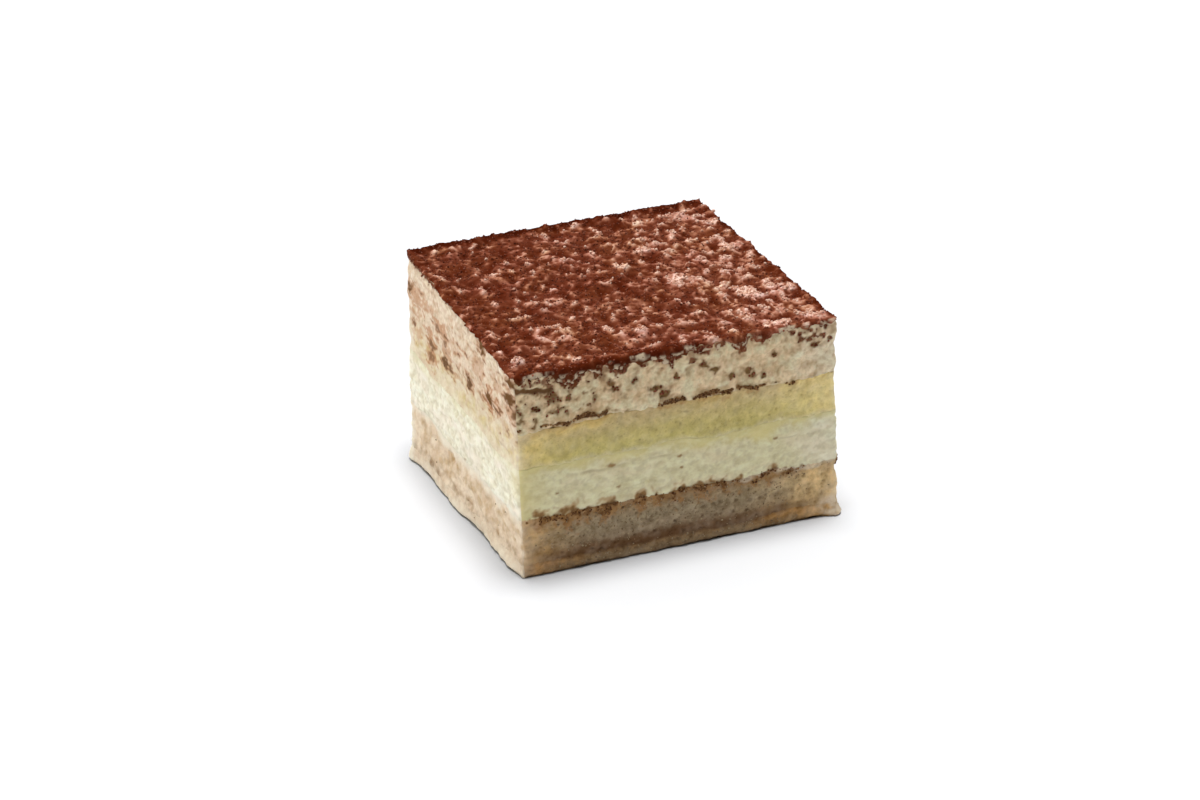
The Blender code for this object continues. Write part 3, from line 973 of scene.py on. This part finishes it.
def spillReach(x, y, side, fromLeft):  # how far down the powder itself hangs over the cut
    hanging = (0.74 - 0.62 * dottedAt(fromLeft)) * spillDepth(side, fromLeft)
    rag = frayed((x, y, 0.0), 0.0019, 0.0008, 0.8, 91.0)
    return max(hanging + topping["ragged"][side] * (0.05 + rag), 0.0)


def creamLump(at):
    size = topping["lumpSize"]
    return frayed(at, size, size / 2.1, 0.6, 14.0) + 0.3 * lumps(at, size / 4.5, 16.0)


def cocoaSpill(spot):  # the clumps of cocoa, the thin powder round them and the gap under the cocoa, painted dark as its shadow
    clump = lumps(spot.at, topping["spillClump"], 93.0)
    fray = lumps(spot.at, 0.0006, 95.0)
    shadowGap = blots = dust = 0.0
    if spot.side == "front":
        start, end, depth, deeper = topping["shadowGap"]
        line = depth + deeper * (spot.fromLeft - start) / (end - start)
        offLine = abs(spot.below - line + 0.0004 * lumps(spot.at, 0.0015, 94.0) + 0.0002 * fray)
        shadowGap = smoothStep(*topping["shadowGapEdge"], offLine) * smoothStep(end + 0.0006, end, spot.fromLeft)
        uneven = 0.60 * clump + 0.45 * fray
        blots = blotsAt(solidBlotches, spot.fromLeft, spot.below, 0.9 * uneven)
        dust = blotsAt(dustBlotches, spot.fromLeft, spot.below, uneven)
    dotted = dottedAt(spot.fromLeft)
    rag = 1.15 * clump + 0.70 * fray - 0.05 - 0.50 * dotted
    edge = min((spillDepth(spot.side, spot.fromLeft) - spot.below) / topping["spillSoft"], 0.5) + rag
    reach = spillReach(spot.x, spot.y, spot.side, spot.fromLeft) - spot.below
    solid = max(smoothStep(0.0, 0.45, edge), smoothStep(-0.0006, 0.0002, reach + 0.0003 * rag), blots)
    dust = max(smoothStep(-0.8, 0.3, edge), 0.7 * dust) * (1.0 - 0.5 * dotted)
    return solid * (1.0 - shadowGap), dust, shadowGap


def finishTopCream(spot):
    rough = topping["roughness"][spot.side]
    lump = creamLump(spot.at)
    cluster = lumps(spot.at, topping["clusterSize"], 17.0)
    fleck = frayed(spot.at, *topping["fleckSizes"], 0.5, 18.0)
    fleck += 0.40 * cluster - 0.30 * lump
    toLeft = smoothStep(*topping["moreToLeft"], spot.fromLeft) if spot.side == "front" else 0.3
    near = smoothStep(*topping["moreBelowTop"], spot.below)
    specks = smoothStep(0.36, 0.90, fleck + 0.22 * toLeft + 0.13 * near) * (0.32 + 0.54 * toLeft)
    specks *= rough if spot.side != "left" else 0.35
    # a brown stain of cocoa, with painted shade where the cream's lumps dip
    stain = smoothStep(-0.35, 0.70, 0.8 * fleck - 0.3 * lump + 0.3 * cluster + 0.18 * toLeft) * rough
    brown, dark = smearAt(spot)
    solid, dust, shadowGap = cocoaSpill(spot)
    push = topping["lumpDepth"] * lump * rough - 0.00016 * specks - 0.00030 * shadowGap
    return push, {
        "cocoa": max(specks, solid),
        "dust": dust,
        "crust": crumbLine("upper", spot, spot.low),
        "halo": crumbLine("upper", spot, spot.low, crusts["upper"]["haloWidth"]),
        "brown": brown,
        # the dark smears, and the painted shadow in the gap under the cocoa
        "smearDark": max(dark, shadowGap),
        "stain": stain,
        "shade": shadeAt(spot),
    }


def makeTopCream(name):
    return makeLayer(name, topping["spacing"], finishTopCream,
                     ("cocoa", "dust", "crust", "brown", "smearDark", "stain", "halo", "shade"))


def topCreamFinish(name):
    finish = newFinish(name, roughness=0.65, specular=0.30, glow=0.14, glowDepth=0.0012)
    dryWhere(finish, "cocoa", "crust", "smearDark")
    tone = patches(finish, 0.0020, 0.34, 0.68, detail=5.0, roughness=0.65)
    colour = blendColours(finish, tone, (0.82, 0.68, 0.485), (0.96, 0.86, 0.69))
    # painted shade: on the front cut the cream is tinted darker and greener, as it gets less light
    greens = patches(finish, 0.0028, 0.40, 0.60)
    tints = blendColours(finish, greens, (0.95, 0.835, 0.675), (0.86, 0.88, 0.74))
    colour = coated(finish, colour, ("shade", 1.0, tinted(finish, colour, tints)))
    mottle = patches(finish, 0.0010, 0.54, 0.36, detail=4.0, roughness=0.6)
    colour = blendColours(finish, calculate(finish, "MULTIPLY", mottle, 0.38), colour, (0.50, 0.40, 0.235))
    darkness = patches(finish, 0.0010, 0.35, 0.65, detail=4.0)
    upper = blendColours(finish, darkness, (0.090, 0.022, 0.008), (0.25, 0.085, 0.038))
    lower = blendColours(finish, darkness, (0.095, 0.046, 0.012), (0.22, 0.120, 0.042))
    powder = blendColours(finish, spread(finish, paintOf(finish, "share"), 0.55, 0.85), lower, upper)
    return complete(finish, coated(
        finish, colour,
        # cocoa stain, with painted shade in the cream's hollows
        ("stain", 0.52, (0.46, 0.280, 0.130)),
        ("brown", 0.95, smears["brown"]),
        ("halo", 0.45, (0.46, 0.27, 0.10)),
        ("dust", 0.52, (0.42, 0.225, 0.115)),
        # dark smears, and the painted shadow in the gap under the cocoa
        ("cocoa", 0.92, powder),
        ("smearDark", 0.98, smears["dark"]),
        ("crust", 0.92, crustColour(finish, "upper")),
    ), bump=(0.0006, 0.65, 0.00022))


# Cocoa powder over lumpy cream: dark in the hollows, and thin on the peaks, where the cream comes through
cocoa = {
    "spacing": 0.00024,
    "depth": 0.0009,
    "edgeDepth": 0.0003,
    "edgeWidth": 0.0030,
    "clumpSizes": (0.0062, 0.0034),
    "clumpHeight": 0.0006,
    "leastDepth": 0.0003,
    "drapeBands": 13,
    "drape": 0.00012,  # how far the powder on the cut stands out from the cream, and
    "tuck": 0.00030,  # how deep its lower edge lies in it
    "bullnose": 0.0005,  # the edge of the cocoa is rounded over this width
    "edgeLeast": 0.00012,
    "bareWidth": 0.0022,
    "lumps": (  # size, height, and how much they lighten the powder
        (0.00280, 0.00030, 1.00), (0.00150, 0.00026, 0.95), (0.00075, 0.00014, 0.36),
    ),
    "ragged": 0.00030,
    "raggedWidth": 0.0022,
}
peaks = {
    "origin": (0.0352, 0.0320),  # the back left corner, from where the places of the peaks are measured
    "halfPlan": (0.036, 0.032),
    "warpSize": 0.0016,
    "warp": 0.0007,
    "curlSize": 0.0036,
    "curlWidth": 0.085,
    "curlGate": 0.0052,
    "patchSize": 0.0085,
    "leftShare": -0.215,
    "rightShare": 0.185,
    "frontShare": 0.05,
    "height": 0.00016,
    # the plainest of them: from the left, from the back, half length, half width, turn and brightness
    "blobs": (
        (0.0210, 0.0225, 0.0013, 0.0010, 0, 0.6),
        (0.0265, 0.0140, 0.0016, 0.0010, 0, 0.6), (0.0265, 0.0390, 0.0014, 0.0010, 0, 0.6),
        (0.0335, 0.0430, 0.0011, 0.0018, 0, 0.6), (0.0400, 0.0532, 0.0026, 0.0009, -8, 0.6),
        (0.0485, 0.0180, 0.0018, 0.0020, 0, 0.9), (0.0480, 0.0340, 0.0017, 0.0024, 10, 1.2),
        (0.0520, 0.0270, 0.0013, 0.0014, 0, 0.6), (0.0590, 0.0300, 0.0012, 0.0030, -30, 0.7),
        (0.0588, 0.0450, 0.0019, 0.0026, -20, 1.3), (0.0650, 0.0228, 0.0018, 0.0015, 0, 1.1),
        (0.0640, 0.0442, 0.0016, 0.0013, 0, 0.7), (0.0460, 0.0085, 0.0014, 0.0010, 0, 0.6),
        (0.0635, 0.0070, 0.0040, 0.0009, 5, 0.6), (0.0620, 0.0355, 0.0015, 0.0012, 0, 0.6),
        (0.0590, 0.0610, 0.0018, 0.0012, 0, 1.2), (0.0660, 0.0600, 0.0014, 0.0016, 20, 1.0),
        (0.0535, 0.0575, 0.0009, 0.0020, 0, 0.6), (0.0120, 0.0185, 0.0009, 0.0030, 30, 0.5),
        (0.0140, 0.0200, 0.0008, 0.0034, -22, 0.5), (0.0265, 0.0575, 0.0008, 0.0024, 12, 0.6),
    ),
    # round dots, and curls that come nearly full circle: from the left, from the back, radius and brightness
    "dots": ((0.0028, 0.0577, 0.0013, 1.60), (0.0060, 0.0600, 0.0007, 0.90)),
    "curls": (
        (0.0145, 0.0480, 0.0036, 0.90), (0.0150, 0.0490, 0.0017, 0.80), (0.0203, 0.0340, 0.0016, 0.75),
        (0.0290, 0.0545, 0.0026, 0.58),
    ),
    "curlLine": 0.0007,
    # darker places: from the left, from the back, half length, half width and how much
    "dim": (
        (0.0350, 0.0330, 0.0080, 0.0060, 0.36), (0.0430, 0.0470, 0.0060, 0.0040, 0.26),
        (0.0250, 0.0280, 0.0050, 0.0040, 0.18), (0.0145, 0.0480, 0.0060, 0.0050, 0.16),
    ),
    # the powder is darker along the back, the right and the left half of the front edge: painted shade along
    # the back and the right edge, and dark clumps along the front one
    "rimShadeAndClumps": {"back": 0.70, "right": 0.32, "front": 0.40},
    "darkWidth": 0.0034,
    "frontDarkTo": 0.040,
}


def placedPeaks(x, y, flat):
    # how bright and how high the peaks are that have their own places, and how much is dimmed here
    fray = frayed(flat, 0.0012, 0.0006, 0.5, 98.0)
    right, back = x + peaks["origin"][0], peaks["origin"][1] - y
    bright = relief = 0.0
    for fromLeft, fromBack, length, width, turn, strength in peaks["blobs"]:
        along, across = right - fromLeft, back - fromBack
        if abs(along) < 0.005 and abs(across) < 0.005:
            ahead = along * cos(radians(turn)) + across * sin(radians(turn))
            aside = across * cos(radians(turn)) - along * sin(radians(turn))
            near = (ahead / length) ** 2 + (aside / width) ** 2
            bright = max(bright, strength * smoothStep(1.9, 0.3, near + 1.6 * fray))
    for fromLeft, fromBack, radius, strength in peaks["dots"]:
        away = ((right - fromLeft) ** 2 + (back - fromBack) ** 2) ** 0.5 + 0.0002 * fray
        bright = max(bright, strength * smoothStep(1.4 * radius, 0.6 * radius, away))
        relief += 0.7 * radius * smoothStep(1.3 * radius, 0.3 * radius, away)
    for fromLeft, fromBack, radius, strength in peaks["curls"]:
        along, across = right - fromLeft, (back - fromBack) * 1.15
        offLine = abs((along * along + across * across) ** 0.5 - radius + 0.0005 * fray)
        if offLine < 2.0 * peaks["curlLine"]:
            broken = smoothStep(-0.60, -0.15, lumps(flat, 0.0024, 90.0))
            bright = max(bright, strength * broken * smoothStep(2.0 * peaks["curlLine"], 0.0, offLine))
    dim = sum(strength * exp(-((right - fromLeft) / length) ** 2 - ((back - fromBack) / width) ** 2)
              for fromLeft, fromBack, length, width, strength in peaks["dim"])
    return bright, relief, dim


def powderAt(x, y):  # the relief of the powder, and how much cream shows through: about -0.6 to 0.9
    flat = (x, y, 0.0)
    toRight = min(max((x + peaks["halfPlan"][0]) / (2.0 * peaks["halfPlan"][0]), 0.0), 1.0)
    toFront = min(max((peaks["halfPlan"][1] - y) / (2.0 * peaks["halfPlan"][1]), 0.0), 1.0)
    relief = lump = 0.0
    for octave, (size, height, share) in enumerate(cocoa["lumps"]):
        here = lumps(flat, size, 51.0 + octave)
        relief += height * here
        lump += here * share
    warpX, warpY = (peaks["warp"] * lumps(flat, peaks["warpSize"], seed) for seed in (81.0, 82.0))
    offCurl = abs(lumps((x + warpX, y + warpY, 0.0), peaks["curlSize"], 83.0))
    curl = smoothStep(peaks["curlWidth"], 0.3 * peaks["curlWidth"], offCurl)
    gate = smoothStep(-0.05, 0.30, lumps(flat, peaks["curlGate"], 85.0) + 0.25 * toRight)
    patch = lumps(flat, peaks["patchSize"], 84.0)
    light = 0.85 * lump + 0.42 * curl * gate + 0.28 * patch + peaks["frontShare"] * toFront
    light += peaks["leftShare"] + (peaks["rightShare"] - peaks["leftShare"]) * toRight
    bright, raised, dim = placedPeaks(x, y, flat)
    light -= dim
    light = max(light, light * 0.4 + 0.75 * bright)
    return relief + raised + peaks["height"] * smoothStep(0.35, 0.75, light), light


def cocoaDepth(u, v, x, y):
    depth = cocoa["depth"]
    for octave, size in enumerate(cocoa["clumpSizes"]):
        depth += cocoa["clumpHeight"] * lumps((x, y, 0.0), size, 40.0 + 5.0 * octave)
    edge = smoothStep(0.0, cocoa["edgeWidth"], toCut(u, v))
    return max(cocoa["edgeDepth"] + (depth - cocoa["edgeDepth"]) * edge, cocoa["leastDepth"])


def bareAt(at, fromLeft, toEdge, down):  # bare cream along the front edge, and its flecks below that
    shown = 0.8 * stretchAt(topping["bare"], fromLeft) - 0.40 + 0.6 * frayed(at, 0.0014, 0.0006, 0.6, 88.0)
    shown -= 0.9 * smoothStep(0.0001, 0.0009, toEdge)
    flecks = smoothStep(0.12, 0.38, frayed(at, 0.0012, 0.0006, 0.6, 96.0)) * smoothStep(0.05, 0.40, down)
    return max(smoothStep(-0.10, 0.40, shown) * smoothStep(0.6, 0.1, down), flecks)


def placePowder(u, v, share):
    onRim = isCut(u, v)
    (u, v), outward = roundCorner(u, v)
    low = jointHeight(u, v, topJoint)
    x, y = onPlan(u, v, 1.0)
    if share < 0.5 and not onRim:
        return (x, y, low - 2.0 * block["lap"]), {}
    side, fromLeft, toEdge = sideOf(u, v), (u + 1.0) * halfWidth, toCut(u, v)
    relief, light = powderAt(x, y)
    thickness = cocoaDepth(u, v, x, y) + relief
    if toEdge < cocoa["bullnose"]:
        inside = 1.0 - toEdge / cocoa["bullnose"]
        thickness *= 0.5 + 0.5 * (1.0 - inside * inside) ** 0.5
    z = low + max(thickness, cocoa["edgeLeast"])
    down = 1.0 - share  # 0 on top, and 1 at the lower edge of the powder that hangs over the cut
    if down > 0.0:  # the powder's pattern is carried on over the edge
        drop = down * (z - low + spillReach(x, y, side, fromLeft))
        z -= drop
        relief, light = powderAt(x + outward.x * drop, y + outward.y * drop)
        light = min(light, 0.30) - 0.04 * smoothStep(0.0, 0.4, down)
    # painted shade along the back and right edges, and dark clumps along the front edge
    if side in ("back", "right") or (side == "front" and fromLeft < peaks["frontDarkTo"]):
        light -= peaks["rimShadeAndClumps"][side] * smoothStep(peaks["darkWidth"], 0.0, toEdge)
    bare = 0.0
    if side == "front" and toEdge < cocoa["bareWidth"]:
        bare = bareAt((x, y, z), fromLeft, toEdge, down)
    near = max(1.0 - toEdge / cocoa["raggedWidth"], 0.0) ** 2
    if near > 0.0:
        x, y = onPlan(u, v, min(z / tall, 1.0))
        at = (x, y, z)
        push = layerRelief("topCream", at, tall)
        push += topping["lumpDepth"] * topping["roughness"][side] * creamLump(at)
        push += cocoa["drape"] * (1.0 - down ** 3) - cocoa["tuck"] * down ** 3 + 0.5 * relief * down
        push += cocoa["ragged"] * frayed(at, 0.0013, 0.0006, 0.8, 42.5)
        x, y = x + outward.x * push * near, y + outward.y * push * near
    return (x, y, z), {"light": light, "bare": min(bare, 1.0), "down": down}


def makeCocoa(name):
    cage = slabCage(cocoa["spacing"], cocoa["drapeBands"], wholeTop=True)
    return finePiece(name, cage, placePowder, ("light", "bare", "down"))


def cocoaFinish(name):
    finish = newFinish("cocoaPowder", roughness=1.0, specular=0.0)
    light = shaken(finish, "light", 0.62, 0.0008, detail=5.0, roughness=0.75)
    colour = rampOf(finish, spread(finish, light, -0.60, 0.90), (
        (0.00, (0.066, 0.0095, 0.0028)), (0.24, (0.110, 0.0190, 0.0062)), (0.42, (0.178, 0.0445, 0.0205)),
        (0.55, (0.275, 0.0880, 0.0480)), (0.66, (0.430, 0.1720, 0.1020)), (0.79, (0.670, 0.3450, 0.2450)),
        (1.00, (0.970, 0.6900, 0.5600)),
    ))
    hues = rampOf(finish, patches(finish, 0.0060, 0.34, 0.66, roughness=0.6), (
        (0.0, (0.99, 0.95, 1.02)), (0.5, (1.00, 1.00, 1.00)), (1.0, (1.02, 1.06, 0.93)),
    ))
    colour = coated(finish, tinted(finish, colour, hues),
                    ("down", 0.45, (0.24, 0.105, 0.042)), ("bare", 0.85, (0.74, 0.60, 0.42)))
    return complete(finish, colour, bump=(0.00045, 0.75, 0.00026))


# Loose bits: small lumps of each kind, joined into one piece, that sit in the surface of the layers
def scatter(name, look):
    random = np.random.default_rng(look["seed"])
    places, normals, chances = [], [], []
    for host, chanceOf in look["hosts"]:
        mesh = pieces[host].data
        spots, facing = (np.empty(3 * len(mesh.vertices), dtype=np.float32) for _ in range(2))
        mesh.vertices.foreach_get("co", spots)
        mesh.vertex_normals.foreach_get("vector", facing)
        places.append(spots.reshape(-1, 3))
        normals.append(facing.reshape(-1, 3))
        chances.append(chanceOf(mesh, places[-1], normals[-1]))
    places, normals, chances = (np.concatenate(parts) for parts in (places, normals, chances))
    count = look["count"]
    chosen = random.choice(len(places), count, p=chances / chances.sum())
    ball = bmesh.new()
    bmesh.ops.create_icosphere(ball, subdivisions=1, radius=1.0)
    corners = np.array([corner.co for corner in ball.verts])
    faces = np.array([[corner.index for corner in face.verts] for face in ball.faces])
    ball.free()
    sizes = random.uniform(look["least"], look["most"], (count, 1, 1))
    sizes = sizes * random.uniform(0.6, 1.3, (count, 1, 3))
    bits = corners * random.uniform(0.78, 1.22, (count, len(corners), 1)) * sizes
    turns = np.linalg.qr(random.normal(size=(count, 3, 3)))[0]
    turns *= np.sign(np.linalg.det(turns))[:, None, None]
    bits = np.einsum("nij,nkj->nki", turns, bits)
    bits += (places[chosen] + normals[chosen] * look["rise"])[:, None, :]
    faces = faces[None] + (np.arange(count) * len(corners))[:, None, None]
    mesh = bpy.data.meshes.new(name)
    mesh.from_pydata(bits.reshape(-1, 3).tolist(), [], faces.reshape(-1, 3).tolist())
    mesh.shade_smooth()
    tones = np.repeat(random.uniform(0.0, 1.0, count), len(corners))
    mesh.attributes.new("tone", "FLOAT", "POINT").data.foreach_set("value", tones.astype(np.float32))
    return addObject(name, mesh)


def bitsFinish(name, look):
    finish = newFinish(name, look["roughness"], specular=0.1)
    return complete(finish, rampOf(finish, shaken(finish, "tone", 0.5, 0.0005), look["colours"]))


def paintedOn(mesh, paint):
    values = np.empty(len(mesh.vertices), dtype=np.float32)
    mesh.attributes[paint].data.foreach_get("value", values)
    return values


def onTop(mesh, places, normals):
    return np.clip(normals[:, 2], 0.0, 1.0) * np.clip(0.8 - paintedOn(mesh, "light"), 0.1, 1.0)


def onSpills(mesh, places, normals):
    return 1.6 * (paintedOn(mesh, "cocoa") > 0.6) * (places[:, 2] > 0.036)


def onPeaks(mesh, places, normals):
    return np.clip(normals[:, 2], 0.0, 1.0) * np.clip(paintedOn(mesh, "light") - 0.4, 0.0, 0.5)


def onCrust(mesh, places, normals):
    lower = 1.0 - 0.5 * (places[:, 2] < 0.020)
    return (paintedOn(mesh, "crust") > 0.5) * (normals[:, 0] > -0.6) * lower


def onCrumb(mesh, places, normals):
    atCut = np.abs(normals[:, 2]) < 0.9
    dry = 1.0 - 0.9 * paintedOn(mesh, "soaked")
    ends = np.maximum(paintedOn(mesh, "leftEnd"), paintedOn(mesh, "rightEnd"))
    clear = (places[:, 2] > 0.0006) * np.clip(1.0 - 1.5 * ends, 0.0, 1.0)
    return atCut * clear * dry * (1.0 - paintedOn(mesh, "hole")) * (1.0 - 0.8 * paintedOn(mesh, "wiped"))


looseBits = {
    "cocoaGrains": {
        "count": 6500, "least": 0.00009, "most": 0.00024, "rise": 0.00005, "seed": 3,
        "hosts": (("cocoaTopping", onTop), ("topCream", onSpills)),
        "slot": "cocoa",
        "roughness": 1.0,
        "colours": ((0.0, (0.085, 0.016, 0.007)), (0.5, (0.17, 0.042, 0.021)), (1.0, (0.33, 0.115, 0.070))),
    },
    "creamFlecks": {
        "count": 1500, "least": 0.00012, "most": 0.00034, "rise": 0.00004, "seed": 4,
        "hosts": (("cocoaTopping", onPeaks),),
        "slot": "top_cream",
        "roughness": 0.8,
        "colours": ((0.0, (0.52, 0.25, 0.165)), (0.5, (0.70, 0.41, 0.30)), (1.0, (0.88, 0.62, 0.49))),
    },
    "crustCrumbs": {
        "count": 1500, "least": 0.00010, "most": 0.00028, "rise": 0.00002, "seed": 5,
        "hosts": (("yellowSponge", onCrust), ("topCream", onCrust), ("coffeeSponge", onCrust)),
        "slot": "coffee_sponge",
        "roughness": 0.9,
        "colours": ((0.0, (0.085, 0.034, 0.013)), (0.6, (0.17, 0.080, 0.030)), (1.0, (0.36, 0.20, 0.085))),
    },
    "spongeCrumbs": {
        "count": 2600, "least": 0.00008, "most": 0.00022, "rise": 0.00002, "seed": 6,
        "hosts": (("coffeeSponge", onCrumb), ("baseSponge", onCrumb)),
        "slot": "coffee_sponge",
        "roughness": 0.9,
        "colours": ((0.0, (0.22, 0.150, 0.085)), (0.5, (0.31, 0.225, 0.130)), (1.0, (0.42, 0.32, 0.20))),
    },
}

pieces = {}
for name, node, slot, makePiece, finishOf in (
    ("baseSponge", "base_sponge", "base_sponge", makeSponge, spongeFinish),
    ("coffeeSponge", "coffee_sponge", "coffee_sponge", makeSponge, spongeFinish),
    ("yellowSponge", "yellow_sponge", "yellow_sponge", makeSponge, spongeFinish),
    ("creamFilling", "cream_filling", "cream_filling", makeFilling, fillingFinish),
    ("topCream", "top_cream", "top_cream", makeTopCream, topCreamFinish),
    ("cocoaTopping", "cocoa_topping", "cocoa", makeCocoa, cocoaFinish),
):
    pieces[name] = makePiece(name)
    dress(pieces[name], node, finishOf(name))
print("layers made")

for name, look in looseBits.items():
    pieces[name] = scatter(name, look)
    dress(pieces[name], None, bitsFinish(name, look))
print("loose bits scattered")


# Floor, light and camera
studio = {
    "floorSize": 6.0,
    "floorColour": (0.300, 0.302, 0.308),
    "skyAxis": (0.0, 0.26, 1.0),  # the light overhead leans to the back
    "skyFade": (0.30, 0.95, 0.06, 2.0),  # the two directions it fades between, and its strength at each
    # each lamp: power, size, distance, degrees round from +X towards +Y, and degrees above the floor
    "key": (2.7, 0.5, 1.0, 168.0, 22.0),
    "floorLamp": (222.0, 0.92, 3.0, -120.0, 89.5),
}


def makeFloor():
    cage = bmesh.new()
    bmesh.ops.create_grid(cage, x_segments=1, y_segments=1, size=studio["floorSize"] / 2.0)
    mesh = bpy.data.meshes.new("floor")
    cage.to_mesh(mesh)
    cage.free()
    finish = newFinish("floor", roughness=0.9, specular=0.1)
    feed(finish, studio["floorColour"], shaderOf(finish).inputs["Base Color"])
    mesh.materials.append(finish)
    floor = addObject("floor", mesh)
    return floor


def makeSky():
    # soft light from overhead that fades towards the horizon
    sky = bpy.data.worlds.new("sky")
    sky.use_nodes = True
    bpy.context.scene.world = sky
    coords = addNode(sky, "ShaderNodeTexCoord")
    along = addNode(sky, "ShaderNodeVectorMath", operation="DOT_PRODUCT")
    along.inputs[1].default_value = Vector(studio["skyAxis"]).normalized()
    fade = addNode(sky, "ShaderNodeMapRange", interpolation_type="SMOOTHSTEP")
    for socket, value in zip(("From Min", "From Max", "To Min", "To Max"), studio["skyFade"]):
        fade.inputs[socket].default_value = value
    background = sky.node_tree.nodes["Background"]
    background.inputs["Color"].default_value = (1.0, 1.0, 1.0, 1.0)
    feed(sky, coords.outputs["Generated"], along.inputs[0])
    feed(sky, along.outputs["Value"], fade.inputs["Value"])
    feed(sky, fade.outputs["Result"], background.inputs["Strength"])


def makeLamp(name, reaches):  # a softbox that lights only the objects it reaches
    power, size, distance, turn, rise = studio[name]
    lamp = bpy.data.lights.new(name, "AREA")
    lamp.size = size
    lamp.energy = power
    softbox = addObject(name, lamp)
    turn, rise = radians(turn), radians(rise)
    towards = Vector((cos(turn) * cos(rise), sin(turn) * cos(rise), sin(rise)))
    softbox.location = towards * distance
    softbox.rotation_euler = towards.to_track_quat("Z", "Y").to_euler()
    reached = bpy.data.collections.new(name + "Reaches")
    for lit in reaches:
        reached.objects.link(lit)
    softbox.light_linking.receiver_collection = reached


view = {
    "focalLength": 96.0,
    "sensorWidth": 36.0,
    "azimuth": -23.8,
    "elevation": 26.4,
    "roll": -0.51,
    "distance": 0.6629,
    "target": (-0.005432, -0.003745, 0.022547),
}


def makeCamera():
    lens = bpy.data.cameras.new("camera")
    lens.lens = view["focalLength"]
    lens.sensor_width = view["sensorWidth"]
    lens.clip_end = 20.0
    camera = addObject("camera", lens)
    turn, rise, roll = (radians(view[key]) for key in ("azimuth", "elevation", "roll"))
    back = Vector((sin(turn) * cos(rise), -cos(turn) * cos(rise), sin(rise)))
    right = Vector((0.0, 0.0, 1.0)).cross(back).normalized()
    up = back.cross(right)
    rolledRight = cos(roll) * right + sin(roll) * up
    rolledUp = -sin(roll) * right + cos(roll) * up
    place = Matrix((rolledRight, rolledUp, back)).transposed().to_4x4()
    place.translation = Vector(view["target"]) - Vector((*block["middle"], 0.0)) + back * view["distance"]
    camera.matrix_world = place
    bpy.context.scene.camera = camera


floor = makeFloor()
makeSky()
makeLamp("key", pieces.values())
makeLamp("floorLamp", [floor])
makeCamera()
bpy.context.scene.view_settings.view_transform = "Standard"
print("studio ready")
